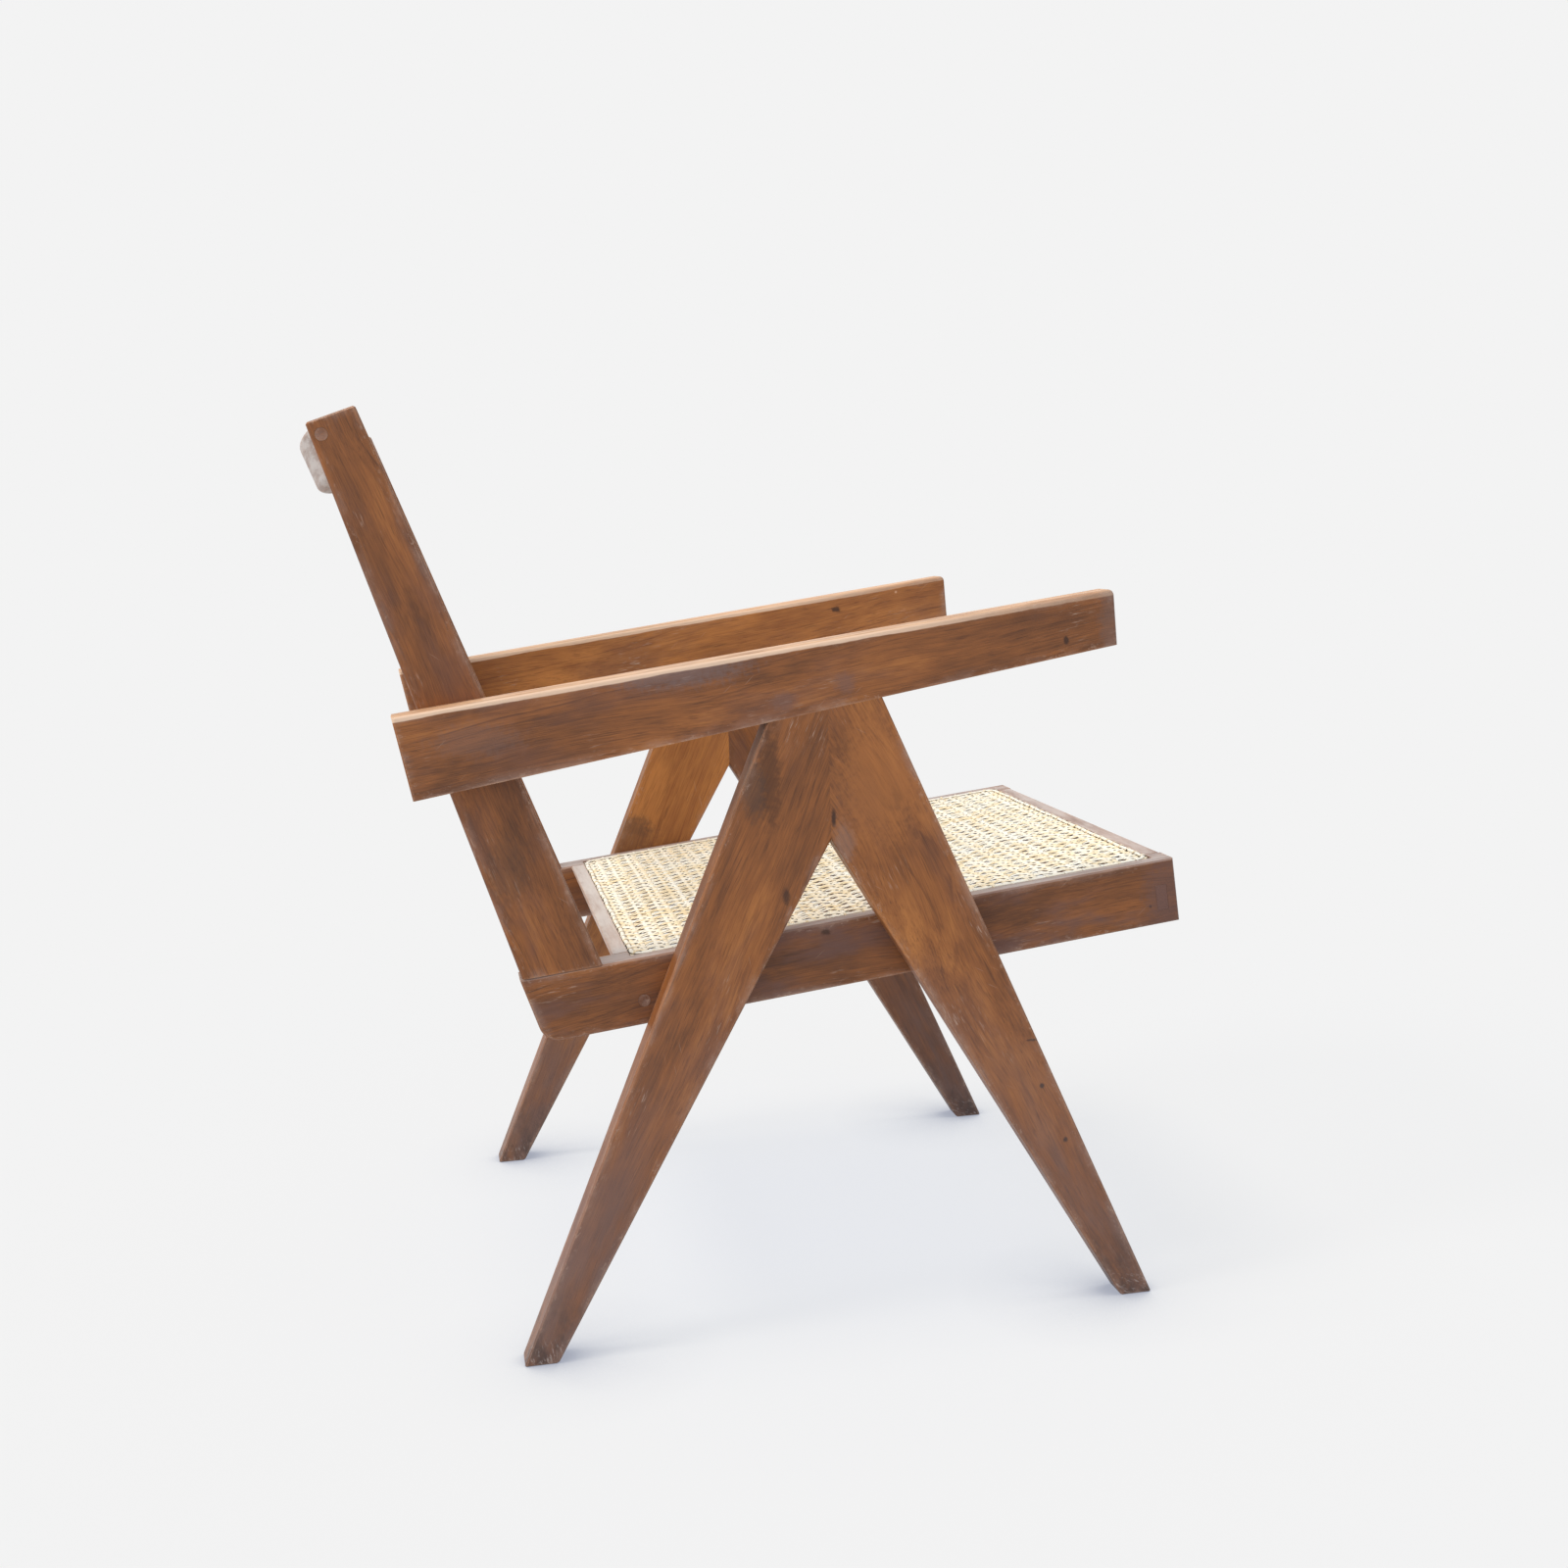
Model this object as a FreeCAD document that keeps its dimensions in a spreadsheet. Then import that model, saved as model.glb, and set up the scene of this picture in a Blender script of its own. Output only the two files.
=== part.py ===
"""Teak easy chair with inverted-V legs, plank armrests and caned seat and back.

Millimetres. +Z is up, the chair faces -Y, +X is the sitter's left. The origin lies on the floor,
midway along the chair's overall width and depth. The right-hand pieces are drawn, and the left-hand ones
are their mirror images.
"""
import FreeCAD
import Part
import os
import Sketcher
from FreeCAD import Placement, Rotation, Vector

doc = FreeCAD.newDocument("easy_chair")

# Driving dimensions: name, value, what it measures
SIZES = [
    ("overall_width", 520, "outside to outside of the armrests"),
    ("overall_height", 780, "floor to the top of the back posts"),
    ("side_thickness", 26, "armrests and legs, across the chair"),
    ("frame_thickness", 30, "seat side rails and back posts, across the chair"),
    ("arris", 1.4, "bevel of the eased edges"),
    ("clearance", 0.15, "play round tenons, dowels and screws"),
    ("foot_length", 28, "length of each foot on the floor"),
    ("rear_foot_reach", 211, "centre of the rear foot behind the origin"),
    ("front_foot_reach", 309, "centre of the front foot ahead of the origin"),
    ("apex_reach", 46, "leg seam ahead of the origin"),
    ("seam_length", 107, "leg seam, from the crotch of the inverted V up to the armrest"),
    ("head_rear", 50, "rear leg's head, from the seam back"),
    ("head_front", 46, "front leg's head, from the seam forward"),
    ("arm_height", 530, "armrest's underside at the leg seam"),
    ("arm_slope", 9.4, "rise of the armrest's underside, degrees"),
    ("arm_rear_reach", 286, "armrest's lower rear corner behind the origin"),
    ("arm_front_reach", 295, "armrest's lower front corner ahead of the origin"),
    ("arm_depth_rear", 67, "armrest's height at its rear end"),
    ("arm_depth_front", 46.5, "armrest's height at its front end"),
    ("arm_rear_rake", 13, "overhang of the armrest's upper rear corner"),
    ("arm_front_rake", 3, "set-back of the armrest's upper front corner"),
    ("arm_nose", 5, "radius of the armrest's upper front corner"),
    ("arm_ease", 3, "radius of the armrest's upper long edges, worn by hands"),
    ("seat_front_reach", 355, "seat frame's upper front corner ahead of the origin"),
    ("seat_front_height", 382, "seat frame's upper front corner above the floor"),
    ("seat_slope", 6.3, "fall of the seat towards the back, degrees"),
    ("rail_length", 569, "seat side rail along its top"),
    ("rail_depth", 56, "seat side rail, square to its top"),
    ("rail_rake", 12, "set-back of the side rail's lower rear corner"),
    ("rail_corner", 17, "radius of the side rail's lower rear corner"),
    ("rail_proud", 2, "side rail's end behind the back post"),
    ("post_foot", 66, "back post's width where it stands on the rail"),
    ("post_top", 40, "back post's width at its top"),
    ("post_ease", 4, "radius of the back post's outer rear edge"),
    ("post_cut", 18.5, "slope of the back post's top, degrees"),
    ("back_lean", 20.4, "lean of the back post's front edge, degrees"),
    ("front_rail_width", 34, "front seat rail, front to back"),
    ("rear_rail_width", 32, "rear seat rail, front to back"),
    ("rear_rail_depth", 50, "rear seat rail, square to the seat"),
    ("rear_rail_gap", 10, "gap between the back posts and the rear seat rail"),
    ("rim", 14, "bare wood round the caned fields"),
    ("rebate", 2.5, "depth of the rebate that takes the cane"),
    ("cane", 2, "thickness of the woven cane"),
    ("cane_corner", 12, "radius of the seat cane's corners"),
    ("seat_net_margin", 22, "closed border of the seat cane, over the seat frame"),
    ("back_net_margin", 10, "closed border of the back cane, beside the posts"),
    ("net_bar", 20, "closed strip of cane between two gaps"),
    ("binder_width", 6, "width of the cane's edge strip"),
    ("binder_thickness", 1.2, "thickness of the cane's edge strip"),
    ("crest_setback", 13, "front of the back rails behind the posts' front edges"),
    ("crest_thickness", 27, "back rails, front to back"),
    ("crest_depth", 43, "crest rail, along the posts"),
    ("crest_round", 5, "radius of the back rails' rear edges"),
    ("back_bow", 20, "hollow of the back rails at mid width"),
    ("lower_rail_drop", 310, "top of the lower back rail below the post's top, along the post"),
    ("lower_rail_depth", 48, "lower back rail, along the posts"),
    ("tenon", 10, "thickness of the tenons"),
    ("tenon_reach", 18, "length of the back rails' and the rear rail's tenons"),
    ("post_tenon_reach", 34, "length of the back post's tenon"),
    ("post_tenon_shoulder", 12, "shoulder at each side of the back post's tenon"),
    ("front_tenon_set", 9, "front seat rail's tenon behind its front face"),
    ("front_tenon_drop", 22, "front seat rail's tenon below its top"),
    ("front_tenon_depth", 22, "front seat rail's tenon, square to the seat"),
    ("rear_tenon_drop", 8, "rear seat rail's tenon below its top"),
    ("rear_tenon_depth", 18, "rear seat rail's tenon, square to the seat"),
    ("back_tenon_set", 7, "back rails' tenon behind their front face"),
    ("back_tenon_drop", 19, "back rails' tenon below their top"),
    ("back_tenon_depth", 18, "back rails' tenon, along the posts"),
    ("peg_diameter", 10, "pegs through the posts and the side rails"),
    ("peg_reach", 24, "peg's length in the cross rail"),
    ("crest_peg_set", 32, "crest peg behind the post's front edge"),
    ("crest_peg_drop", 11, "crest peg below the post's top"),
    ("rear_peg_drop", 36, "rear rail's peg below the seat frame's top"),
    ("rear_peg_set", 10, "rear rail's peg ahead of the rail's rear face"),
    ("arm_tenon_width", 26, "loose tenons between leg heads and armrests, along the armrest"),
    ("arm_tenon_length", 56, "loose tenons between leg heads and armrests, square to the armrest"),
    ("spline_thickness", 8, "spline across the leg seam"),
    ("spline_length", 36, "spline across the leg seam, front to back"),
    ("spline_low", 22, "spline's lower end above the crotch"),
    ("spline_shoulder", 13, "spline's upper end below the loose tenons"),
    ("screw_diameter", 6, "shank of the wood screws"),
    ("screw_head", 12, "head of the wood screws"),
    ("screw_bite", 17, "screw's length in the piece that it holds"),
]
# Values worked out from the driving dimensions
LAYOUT = [
    ("half_width", "dims.overall_width / 2"),
    ("rail_face", "layout.half_width - dims.side_thickness"),
    ("frame_inside", "layout.rail_face - dims.frame_thickness"),
    ("arm_rise", "tan(dims.arm_slope * 1deg)"),
    ("apex_height", "dims.arm_height - dims.seam_length"),
    ("spline_height", "dims.seam_length - dims.spline_low - dims.spline_shoulder"
                      " - dims.arm_tenon_length / 2"),
    ("seat_run", "cos(dims.seat_slope * 1deg)"),
    ("seat_fall", "sin(dims.seat_slope * 1deg)"),
    ("lean_run", "sin(dims.back_lean * 1deg)"),
    ("lean_rise", "cos(dims.back_lean * 1deg)"),
    ("rear_rail_lean", "tan((dims.back_lean - dims.seat_slope) * 1deg)"),
    ("post_heel", "dims.rail_length - dims.rail_proud"),
    ("post_toe", "layout.post_heel - dims.post_foot"),
    ("rear_rail_back", "layout.post_toe - dims.rear_rail_gap"),
    ("post_toe_y", "-dims.seat_front_reach + layout.post_toe * layout.seat_run"),
    ("post_toe_z", "dims.seat_front_height - layout.post_toe * layout.seat_fall"),
    ("post_head_y", "layout.post_toe_y + (dims.overall_height - layout.post_toe_z)"
                    " * layout.lean_run / layout.lean_rise"),
    ("back_foot", "dims.lower_rail_drop + dims.lower_rail_depth"),
    ("bow_radius", "(layout.frame_inside^2 + dims.back_bow^2) / (2 * dims.back_bow)"),
    ("cane_front", "dims.crest_setback + dims.rebate - dims.cane"),
]

dims = doc.addObject("Spreadsheet::Sheet", "dims")
for row, (name, value, meaning) in enumerate(SIZES, start=1):
    dims.set(f"A{row}", meaning)
    dims.set(f"B{row}", str(value))
    dims.setAlias(f"B{row}", name)
doc.recompute()
layout = doc.addObject("Spreadsheet::Sheet", "layout")
for row, (name, formula) in enumerate(LAYOUT, start=1):
    layout.set(f"A{row}", name)
    layout.setAlias(f"B{row}", name)
    layout.set(f"B{row}", "=" + formula.replace("layout.", ""))
    doc.recompute()

nodes = {}


def number(expression):
    """The value of an expression on the two sheets, as a plain number."""
    value = dims.evalExpression(expression)
    return float(getattr(value, "Value", value))


def seat_point(back, down):
    """Y and Z of a point so far back from the seat frame's upper front corner, and so far under its top."""
    return (f"-dims.seat_front_reach + ({back}) * layout.seat_run - ({down}) * layout.seat_fall",
            f"dims.seat_front_height - ({back}) * layout.seat_fall - ({down}) * layout.seat_run")


def back_point(behind, down):
    """Y and Z of a point so far behind the posts' front edges, and so far down them from the top."""
    return (f"layout.post_head_y + ({behind}) * layout.lean_rise - ({down}) * layout.lean_run",
            f"dims.overall_height - ({behind}) * layout.lean_run - ({down}) * layout.lean_rise")


def underside_point(ahead):
    """Y and Z of a point of the armrest's underside, so far ahead of the leg seam."""
    return (f"-dims.apex_reach - ({ahead})", f"dims.arm_height + layout.arm_rise * ({ahead})")


def plane_of(body, role):
    """One of a body's own origin planes or axes."""
    return next(plane for plane in body.Origin.OriginFeatures if plane.Role == role)


def new_sketch(body, name, role, offset):
    """A sketch on one of the body's origin planes, moved along the plane's normal."""
    sketch = body.newObject("Sketcher::SketchObject", name)
    sketch.AttachmentSupport = (plane_of(body, role), [""])
    sketch.MapMode = "FlatFace"
    sketch.setExpression("AttachmentOffset.Base.z", offset)
    return sketch


def pin_vertex(sketch, geometry, end, point):
    """Holds one end of a sketch line at a point given by two expressions."""
    for axis, expression in zip(("DistanceX", "DistanceY"), point):
        index = sketch.addConstraint(
            Sketcher.Constraint(axis, -1, 1, geometry, end, number(expression)))
        sketch.setExpression(f"Constraints[{index}]", expression)


def draw_loops(sketch, points, loops):
    """Closed outlines of straight lines, the same number of points in each, given by expressions."""
    corners = [Vector(number(y), number(z), 0) for y, z in points]
    count = len(corners) // loops
    for i, corner in enumerate(corners):
        after = i - i % count + (i + 1) % count
        sketch.addGeometry(Part.LineSegment(corner, corners[after]), False)
    for i in range(len(corners)):
        after = i - i % count + (i + 1) % count
        sketch.addConstraint(Sketcher.Constraint("Coincident", i, 2, after, 1))
        pin_vertex(sketch, i, 1, points[i])


def draw_outline(sketch, points):
    """One closed outline of straight lines."""
    draw_loops(sketch, points, 1)


def bow_depth(depth, reach):
    """Depth, at x = reach, of the back's hollow curve that has the given depth at the posts' inside faces."""
    return f"{depth} + sqrt(layout.bow_radius^2 - ({reach})^2) - layout.bow_radius + dims.back_bow"


def draw_bow(sketch, reach, front, rear):
    """A band between two arcs of the back's hollow curve, cut off square at -reach and +reach."""
    ends = [bow_depth(depth, reach) for depth in (front, rear)]
    half = number(reach)
    arcs = []
    for depth, end in zip((front, rear), ends):
        middle = Vector(0, number(depth) + number("dims.back_bow"), 0)
        arc = Part.Arc(Vector(-half, number(end), 0), middle, Vector(half, number(end), 0))
        arcs.append(sketch.addGeometry(arc, False))
    sides = []
    for sign in ("-", ""):
        x = f"{sign}({reach})"
        corners = [Vector(number(x), number(end), 0) for end in ends]
        sides.append(sketch.addGeometry(Part.LineSegment(*corners), False))
        pin_vertex(sketch, sides[-1], 1, (x, ends[0]))
        pin_vertex(sketch, sides[-1], 2, (x, ends[1]))
    for arc, side_end in zip(arcs, (1, 2)):
        left_end, right_end = (1, 2) if sketch.getPoint(arc, 1).x < 0 else (2, 1)
        sketch.addConstraint(Sketcher.Constraint("Coincident", arc, left_end, sides[0], side_end))
        sketch.addConstraint(Sketcher.Constraint("Coincident", arc, right_end, sides[1], side_end))
        index = sketch.addConstraint(Sketcher.Constraint("Radius", arc, number("layout.bow_radius")))
        sketch.setExpression(f"Constraints[{index}]", "layout.bow_radius")


def pad(body, sketch, length):
    """Raises a sketch along its normal."""
    feature = body.newObject("PartDesign::Pad", sketch.Name + "_pad")
    feature.Profile = sketch
    feature.setExpression("Length", length)
    sketch.Visibility = False
    doc.recompute()
    return feature


def net(body, role, start, spans, counts, axes, reach):
    """Opens a sheet as a plain net: one gap, repeated to fill two spans with a bar between gaps."""
    sketch = new_sketch(body, body.Name + "_gap", role, "0")
    sizes = [f"(({span}) + dims.net_bar) / {count} - dims.net_bar" for span, count in zip(spans, counts)]
    far = [f"({first}) + {size}" for first, size in zip(start, sizes)]
    draw_outline(sketch, [start, (far[0], start[1]), tuple(far), (start[0], far[1])])
    gap = body.newObject("PartDesign::Pocket", body.Name + "_gap_cut")
    gap.Profile = sketch
    gap.setExpression("Length", reach)
    sketch.Visibility = False
    grid = body.newObject("PartDesign::LinearPattern", body.Name + "_gaps")
    grid.Originals = [gap]
    for way, axis, span, size, count in zip(("", "2"), axes, spans, sizes, counts):
        setattr(grid, "Direction" + way, (plane_of(body, axis), [""]))
        setattr(grid, "Occurrences" + way, count)
        grid.setExpression("Length" + way, f"({span}) - ({size})")
    body.Tip = grid
    doc.recompute()


def plank(name, points, start, thickness):
    """A body with an outline in the YZ plane, raised from x = start by its thickness."""
    body = doc.addObject("PartDesign::Body", name)
    sketch = new_sketch(body, name + "_outline", "YZ_Plane", start)
    draw_outline(sketch, points)
    pad(body, sketch, thickness)
    return body


def add_tongue(body, name, points, start, thickness):
    """Adds a tenon, or another block with its outline in the YZ plane, to a body."""
    sketch = new_sketch(body, name, "YZ_Plane", start)
    draw_outline(sketch, points)
    pad(body, sketch, thickness)


def pick_edges(shape, wanted):
    """Names of the edges that a test picks by their middle point and direction."""
    picked = []
    for index, edge in enumerate(shape.Edges, start=1):
        halfway = (edge.FirstParameter + edge.LastParameter) / 2
        if wanted(edge.valueAt(halfway), edge.tangentAt(halfway)):
            picked.append(f"Edge{index}")
    return picked


def dress_edges(body, kind, measure, size, wanted):
    """Fillets or chamfers the picked edges of a body."""
    base = body.Tip
    feature = body.newObject("PartDesign::" + kind, f"{body.Name}_{kind.lower()}")
    feature.Base = (base, pick_edges(base.Shape, wanted))
    feature.setExpression(measure, size)
    doc.recompute()


def round_edges(body, radius, wanted):
    """Rounds the edges of a body that a test picks."""
    dress_edges(body, "Fillet", "Radius", radius, wanted)


def bevel_edges(body, size, wanted):
    """Bevels the edges of a body that a test picks."""
    dress_edges(body, "Chamfer", "Size", size, wanted)


def off_line(start, end, margin="dims.arris / 2"):
    """A test for points that are clear, by a margin, of the line through two points given by expressions."""
    first = Vector(0, number(start[0]), number(start[1]))
    run = Vector(0, number(end[0]), number(end[1])) - first

    def clear(point):
        away = Vector(0, point.y, point.z) - first
        return run.cross(away).Length > run.Length * number(margin)

    return clear


def place(item, x, point, axis, angle):
    """Binds an object's place: x, then Y and Z as a pair, then a turn about an axis."""
    item.Placement = Placement(Vector(0, 0, 0), Rotation(axis, number(angle)))
    item.setExpression("Placement.Base.x", x)
    item.setExpression("Placement.Base.y", point[0])
    item.setExpression("Placement.Base.z", point[1])
    item.setExpression("Placement.Rotation.Angle", angle)


TILT_BACK = Vector(-1, 0, 0)
TO_THE_SIDE = Vector(0, 1, 0)


def block(name, sizes, x, point, angle):
    """A box tilted back by an angle: sizes across the chair, backwards and upwards."""
    box = doc.addObject("Part::Box", name)
    for side, size in zip(("Length", "Width", "Height"), sizes):
        box.setExpression(side, size)
    place(box, x, point, TILT_BACK, angle)
    return box


def rod(name, diameter, length, x, point, axis, angle):
    """A round rod from a point, turned about an axis from upright."""
    cylinder = doc.addObject("Part::Cylinder", name)
    cylinder.setExpression("Radius", f"({diameter}) / 2")
    cylinder.setExpression("Height", length)
    place(cylinder, x, point, axis, angle)
    return cylinder


def cut(name, base, tools):
    """A piece with its mortises, holes and rebates cut."""
    group = doc.addObject("Part::Compound", name + "_tools")
    group.Links = tools
    piece = doc.addObject("Part::Cut", name)
    piece.Base = base
    piece.Tool = group
    return piece


def mirrored(source, name):
    """The left-hand image of a right-hand piece."""
    image = doc.addObject("Part::Mirroring", name)
    image.Source = source
    image.Base = Vector(0, 0, 0)
    image.Normal = Vector(1, 0, 0)
    return image


def keep(node, piece):
    """Names a finished piece."""
    piece.Label = node
    nodes[node] = piece


def keep_pair(node, piece):
    """Names a right-hand piece and makes its left-hand image."""
    keep("right_" + node, piece)
    keep("left_" + node, mirrored(piece, "left_" + node + "_image"))


def keep_group(node, right_pieces):
    """Names a group of small solids on both sides of the chair as one node."""
    right = doc.addObject("Part::Compound", node + "_right")
    right.Links = right_pieces
    both = doc.addObject("Part::Compound", node + "_both")
    both.Links = [right, mirrored(right, node + "_left")]
    keep(node, both)


PLAY = "dims.clearance"
SIDE_MIDDLE = "-layout.half_width + dims.side_thickness / 2"


# Loose tenons between the leg heads and the armrest, and their mortises
def arm_tenon(name, ahead, play):
    """A flat block square to the armrest's underside, half in the leg and half in the armrest."""
    y, z = underside_point(ahead)
    half = f"(dims.arm_tenon_length / 2 + {play})"
    side = f"(dims.arm_tenon_width / 2 + {play})"
    rise = "sin(dims.arm_slope * 1deg)"
    run = "cos(dims.arm_slope * 1deg)"
    corner = (f"{y} - {half} * {rise} - {side} * {run}", f"{z} - {half} * {run} + {side} * {rise}")
    return block(name, (f"dims.tenon + 2 * {play}", f"2 * {side}", f"2 * {half}"),
                 f"{SIDE_MIDDLE} - dims.tenon / 2 - {play}", corner, "dims.arm_slope")


HEAD_MIDDLES = {"rear": "-dims.head_rear / 2", "front": "dims.head_front / 2"}
arm_tenons = [arm_tenon(f"arm_tenon_{end}", ahead, "0") for end, ahead in HEAD_MIDDLES.items()]
arm_mortises = {end: arm_tenon(f"arm_mortise_{end}", ahead, PLAY) for end, ahead in HEAD_MIDDLES.items()}
keep_group("arm_to_leg_tenons", arm_tenons)


# Spline across the seam between the two legs, and its slot
def seam_spline(name, play):
    """An upright flat block, half in each leg."""
    half = f"(dims.spline_length / 2 + {play})"
    corner = (f"-dims.apex_reach - {half}", f"layout.apex_height + dims.spline_low - {play}")
    sizes = (f"dims.spline_thickness + 2 * {play}", f"2 * {half}", f"layout.spline_height + 2 * {play}")
    return block(name, sizes, f"{SIDE_MIDDLE} - dims.spline_thickness / 2 - {play}", corner, "0")


keep_group("leg_seam_splines", [seam_spline("seam_spline", "0")])
seam_slot = seam_spline("seam_slot", PLAY)


# Wood screws that hold the outer plane, legs and armrests, to the seat and back frame
def screw(name, point, play):
    """A countersunk screw from the frame's inside face, through the frame and into the side piece."""
    reach = f"(dims.frame_thickness + dims.screw_bite + {play})"
    sink = "(dims.screw_head / 2 - dims.screw_diameter / 2)"
    shank = rod(name + "_shank", f"dims.screw_diameter + 2 * {play}", reach,
                f"-layout.frame_inside - {reach}", point, TO_THE_SIDE, "90")
    head = doc.addObject("Part::Cone", name + "_head")
    head.setExpression("Radius1", f"dims.screw_diameter / 2 + {play}")
    head.setExpression("Radius2", f"dims.screw_head / 2 + {play}")
    head.setExpression("Height", sink)
    place(head, f"-layout.frame_inside - {sink}", point, TO_THE_SIDE, "90")
    whole = doc.addObject("Part::Fuse", name)
    whole.Base = shank
    whole.Tool = head
    return whole


def leg_middle(foot, foot_to_head, head_z, foot_to_apex):
    """Start and slope of a leg's middle line: Y at the floor and Y gained per unit of height."""
    return foot, f"(({foot_to_head}) / ({head_z}) + ({foot_to_apex}) / layout.apex_height) / 2"


def crossing(line, start, fall):
    """Y and Z where a line (Y at the floor, Y per height) meets one that falls backwards from Z at Y = 0."""
    base, slope = line
    y = f"(({base}) + ({slope}) * ({start})) / (1 + ({slope}) * ({fall}))"
    return y, f"({start}) - ({fall}) * ({y})"


rear_leg_line = leg_middle(
    "dims.rear_foot_reach",
    "-dims.apex_reach + dims.head_rear - dims.rear_foot_reach - dims.foot_length / 2",
    underside_point("-dims.head_rear")[1],
    "-dims.apex_reach - dims.rear_foot_reach + dims.foot_length / 2")
front_leg_line = leg_middle(
    "-dims.front_foot_reach",
    "-dims.apex_reach - dims.head_front + dims.front_foot_reach + dims.foot_length / 2",
    underside_point("dims.head_front")[1],
    "-dims.apex_reach + dims.front_foot_reach - dims.foot_length / 2")
rail_slope = "layout.seat_fall / layout.seat_run"
rail_middle_z = ("dims.seat_front_height - dims.rail_depth / 2 / layout.seat_run"
                 f" - dims.seat_front_reach * {rail_slope}")
post_heel_point = seat_point("layout.post_heel", "0")
post_top_rear = ("layout.post_head_y + dims.post_top * cos(dims.post_cut * 1deg)",
                 "dims.overall_height - dims.post_top * sin(dims.post_cut * 1deg)")
post_slope = (f"(({post_top_rear[0]}) + layout.post_head_y - ({post_heel_point[0]}) - layout.post_toe_y)"
              f" / (({post_top_rear[1]}) + dims.overall_height - ({post_heel_point[1]}) - layout.post_toe_z)")
post_line = (f"(({post_heel_point[0]}) + layout.post_toe_y) / 2"
             f" - ({post_slope}) * (({post_heel_point[1]}) + layout.post_toe_z) / 2", post_slope)
arm_middle_z = "dims.arm_height - layout.arm_rise * dims.apex_reach + dims.arm_depth_rear / 2"


CROSSINGS = {
    "rear_leg": (rear_leg_line, rail_middle_z, rail_slope),
    "front_leg": (front_leg_line, rail_middle_z, rail_slope),
    "post": (post_line, arm_middle_z, "layout.arm_rise"),
}
screws = {key: screw(f"{key}_screw", crossing(*where), "0") for key, where in CROSSINGS.items()}
screw_holes = {key: screw(f"{key}_screw_hole", crossing(*where), PLAY) for key, where in CROSSINGS.items()}
keep_group("leg_to_rail_screws", [screws["rear_leg"], screws["front_leg"]])
keep_group("arm_to_post_screws", [screws["post"]])

# Armrest: a plank on edge, deeper at the rear, with eased edges and a rounded nose
arm_rear_low = underside_point("-dims.arm_rear_reach - dims.apex_reach")
arm_front_low = underside_point("dims.arm_front_reach - dims.apex_reach")
arm_rear_high = (f"{arm_rear_low[0]} + dims.arm_rear_rake", f"{arm_rear_low[1]} + dims.arm_depth_rear")
arm_front_high = (f"{arm_front_low[0]} + dims.arm_front_rake", f"{arm_front_low[1]} + dims.arm_depth_front")
armrest = plank("armrest", [arm_rear_low, arm_front_low, arm_front_high, arm_rear_high],
                "-layout.half_width", "dims.side_thickness")
nose_y = number(arm_front_high[0]) + number("dims.arm_nose")
nose_z = number(arm_front_high[1]) - number("dims.arm_depth_front / 2")
round_edges(armrest, "dims.arm_nose",
            lambda middle, along: abs(along.x) > 0.9 and middle.y < nose_y and middle.z > nose_z)
clear_of_underside = off_line(arm_rear_low, arm_front_low)
clear_of_top = off_line(arm_rear_high, arm_front_high)
bevel_edges(armrest, "dims.arris", lambda middle, along: abs(along.x) < 0.1 and middle.y > 0
            and clear_of_underside(middle) and clear_of_top(middle))
round_edges(armrest, "dims.arm_ease", lambda middle, along: abs(along.x) < 0.1 and not clear_of_top(middle))
keep_pair("armrest", cut("right_armrest_cut", armrest,
                         list(arm_mortises.values()) + [screw_holes["post"]]))

# Legs: tapered planks that meet at an upright seam under the armrest
seam_low = ("-dims.apex_reach", "layout.apex_height")
seam_high = underside_point("0")


def leg(name, foot, head, toe_sign, tools):
    """A leg from its foot, centred at a Y, to its head: the outline turns at the seam."""
    outer_foot = (f"{foot} {toe_sign} dims.foot_length / 2", "0")
    inner_foot = (f"{foot} - ({toe_sign}1) * dims.foot_length / 2", "0")
    body = plank(name, [outer_foot, inner_foot, seam_low, seam_high, head],
                 "-layout.half_width", "dims.side_thickness")
    clear_of_seam = off_line(seam_low, seam_high)
    clear_of_head = off_line(seam_high, head)
    bevel_edges(body, "dims.arris", lambda middle, along: clear_of_seam(middle) and clear_of_head(middle))
    keep_pair(name, cut(f"right_{name}_cut", body, tools))


leg("rear_leg", "dims.rear_foot_reach", underside_point("-dims.head_rear"), "+",
    [arm_mortises["rear"], seam_slot, screw_holes["rear_leg"]])
leg("front_leg", "-dims.front_foot_reach", underside_point("dims.head_front"), "-",
    [arm_mortises["front"], seam_slot, screw_holes["front_leg"]])


# Pegs whose ends show on the outside of the posts and the side rails
def peg(name, point, play):
    """A level peg from the frame's outside face, through the frame and into the end of a cross rail."""
    return rod(name, f"dims.peg_diameter + 2 * {play}", f"dims.frame_thickness + dims.peg_reach + {play}",
               "-layout.rail_face", point, TO_THE_SIDE, "90")


crest_peg_point = back_point("dims.crest_peg_set", "dims.crest_peg_drop")
rear_peg_back = "layout.rear_rail_back - dims.rear_peg_drop * layout.rear_rail_lean - dims.rear_peg_set"
rear_peg_point = seat_point(rear_peg_back, "dims.rear_peg_drop")
keep_group("crest_rail_pegs", [peg("crest_peg", crest_peg_point, "0")])
keep_group("rear_rail_pegs", [peg("rear_peg", rear_peg_point, "0")])
crest_peg_hole = peg("crest_peg_hole", crest_peg_point, PLAY)
rear_peg_hole = peg("rear_peg_hole", rear_peg_point, PLAY)

# Shallow rebate in the seat frame, open towards the middle, that takes the cane
field_length = "layout.rear_rail_back - 2 * dims.rim"
ABOVE = "dims.rim"
rebate_sizes = ("2 * (layout.rail_face - dims.rim)", field_length, f"dims.rebate + {ABOVE}")
seat_rebate = block("seat_rebate", rebate_sizes, "-(layout.rail_face - dims.rim)",
                    seat_point("dims.rim", "dims.rebate"), "dims.seat_slope")


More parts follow.
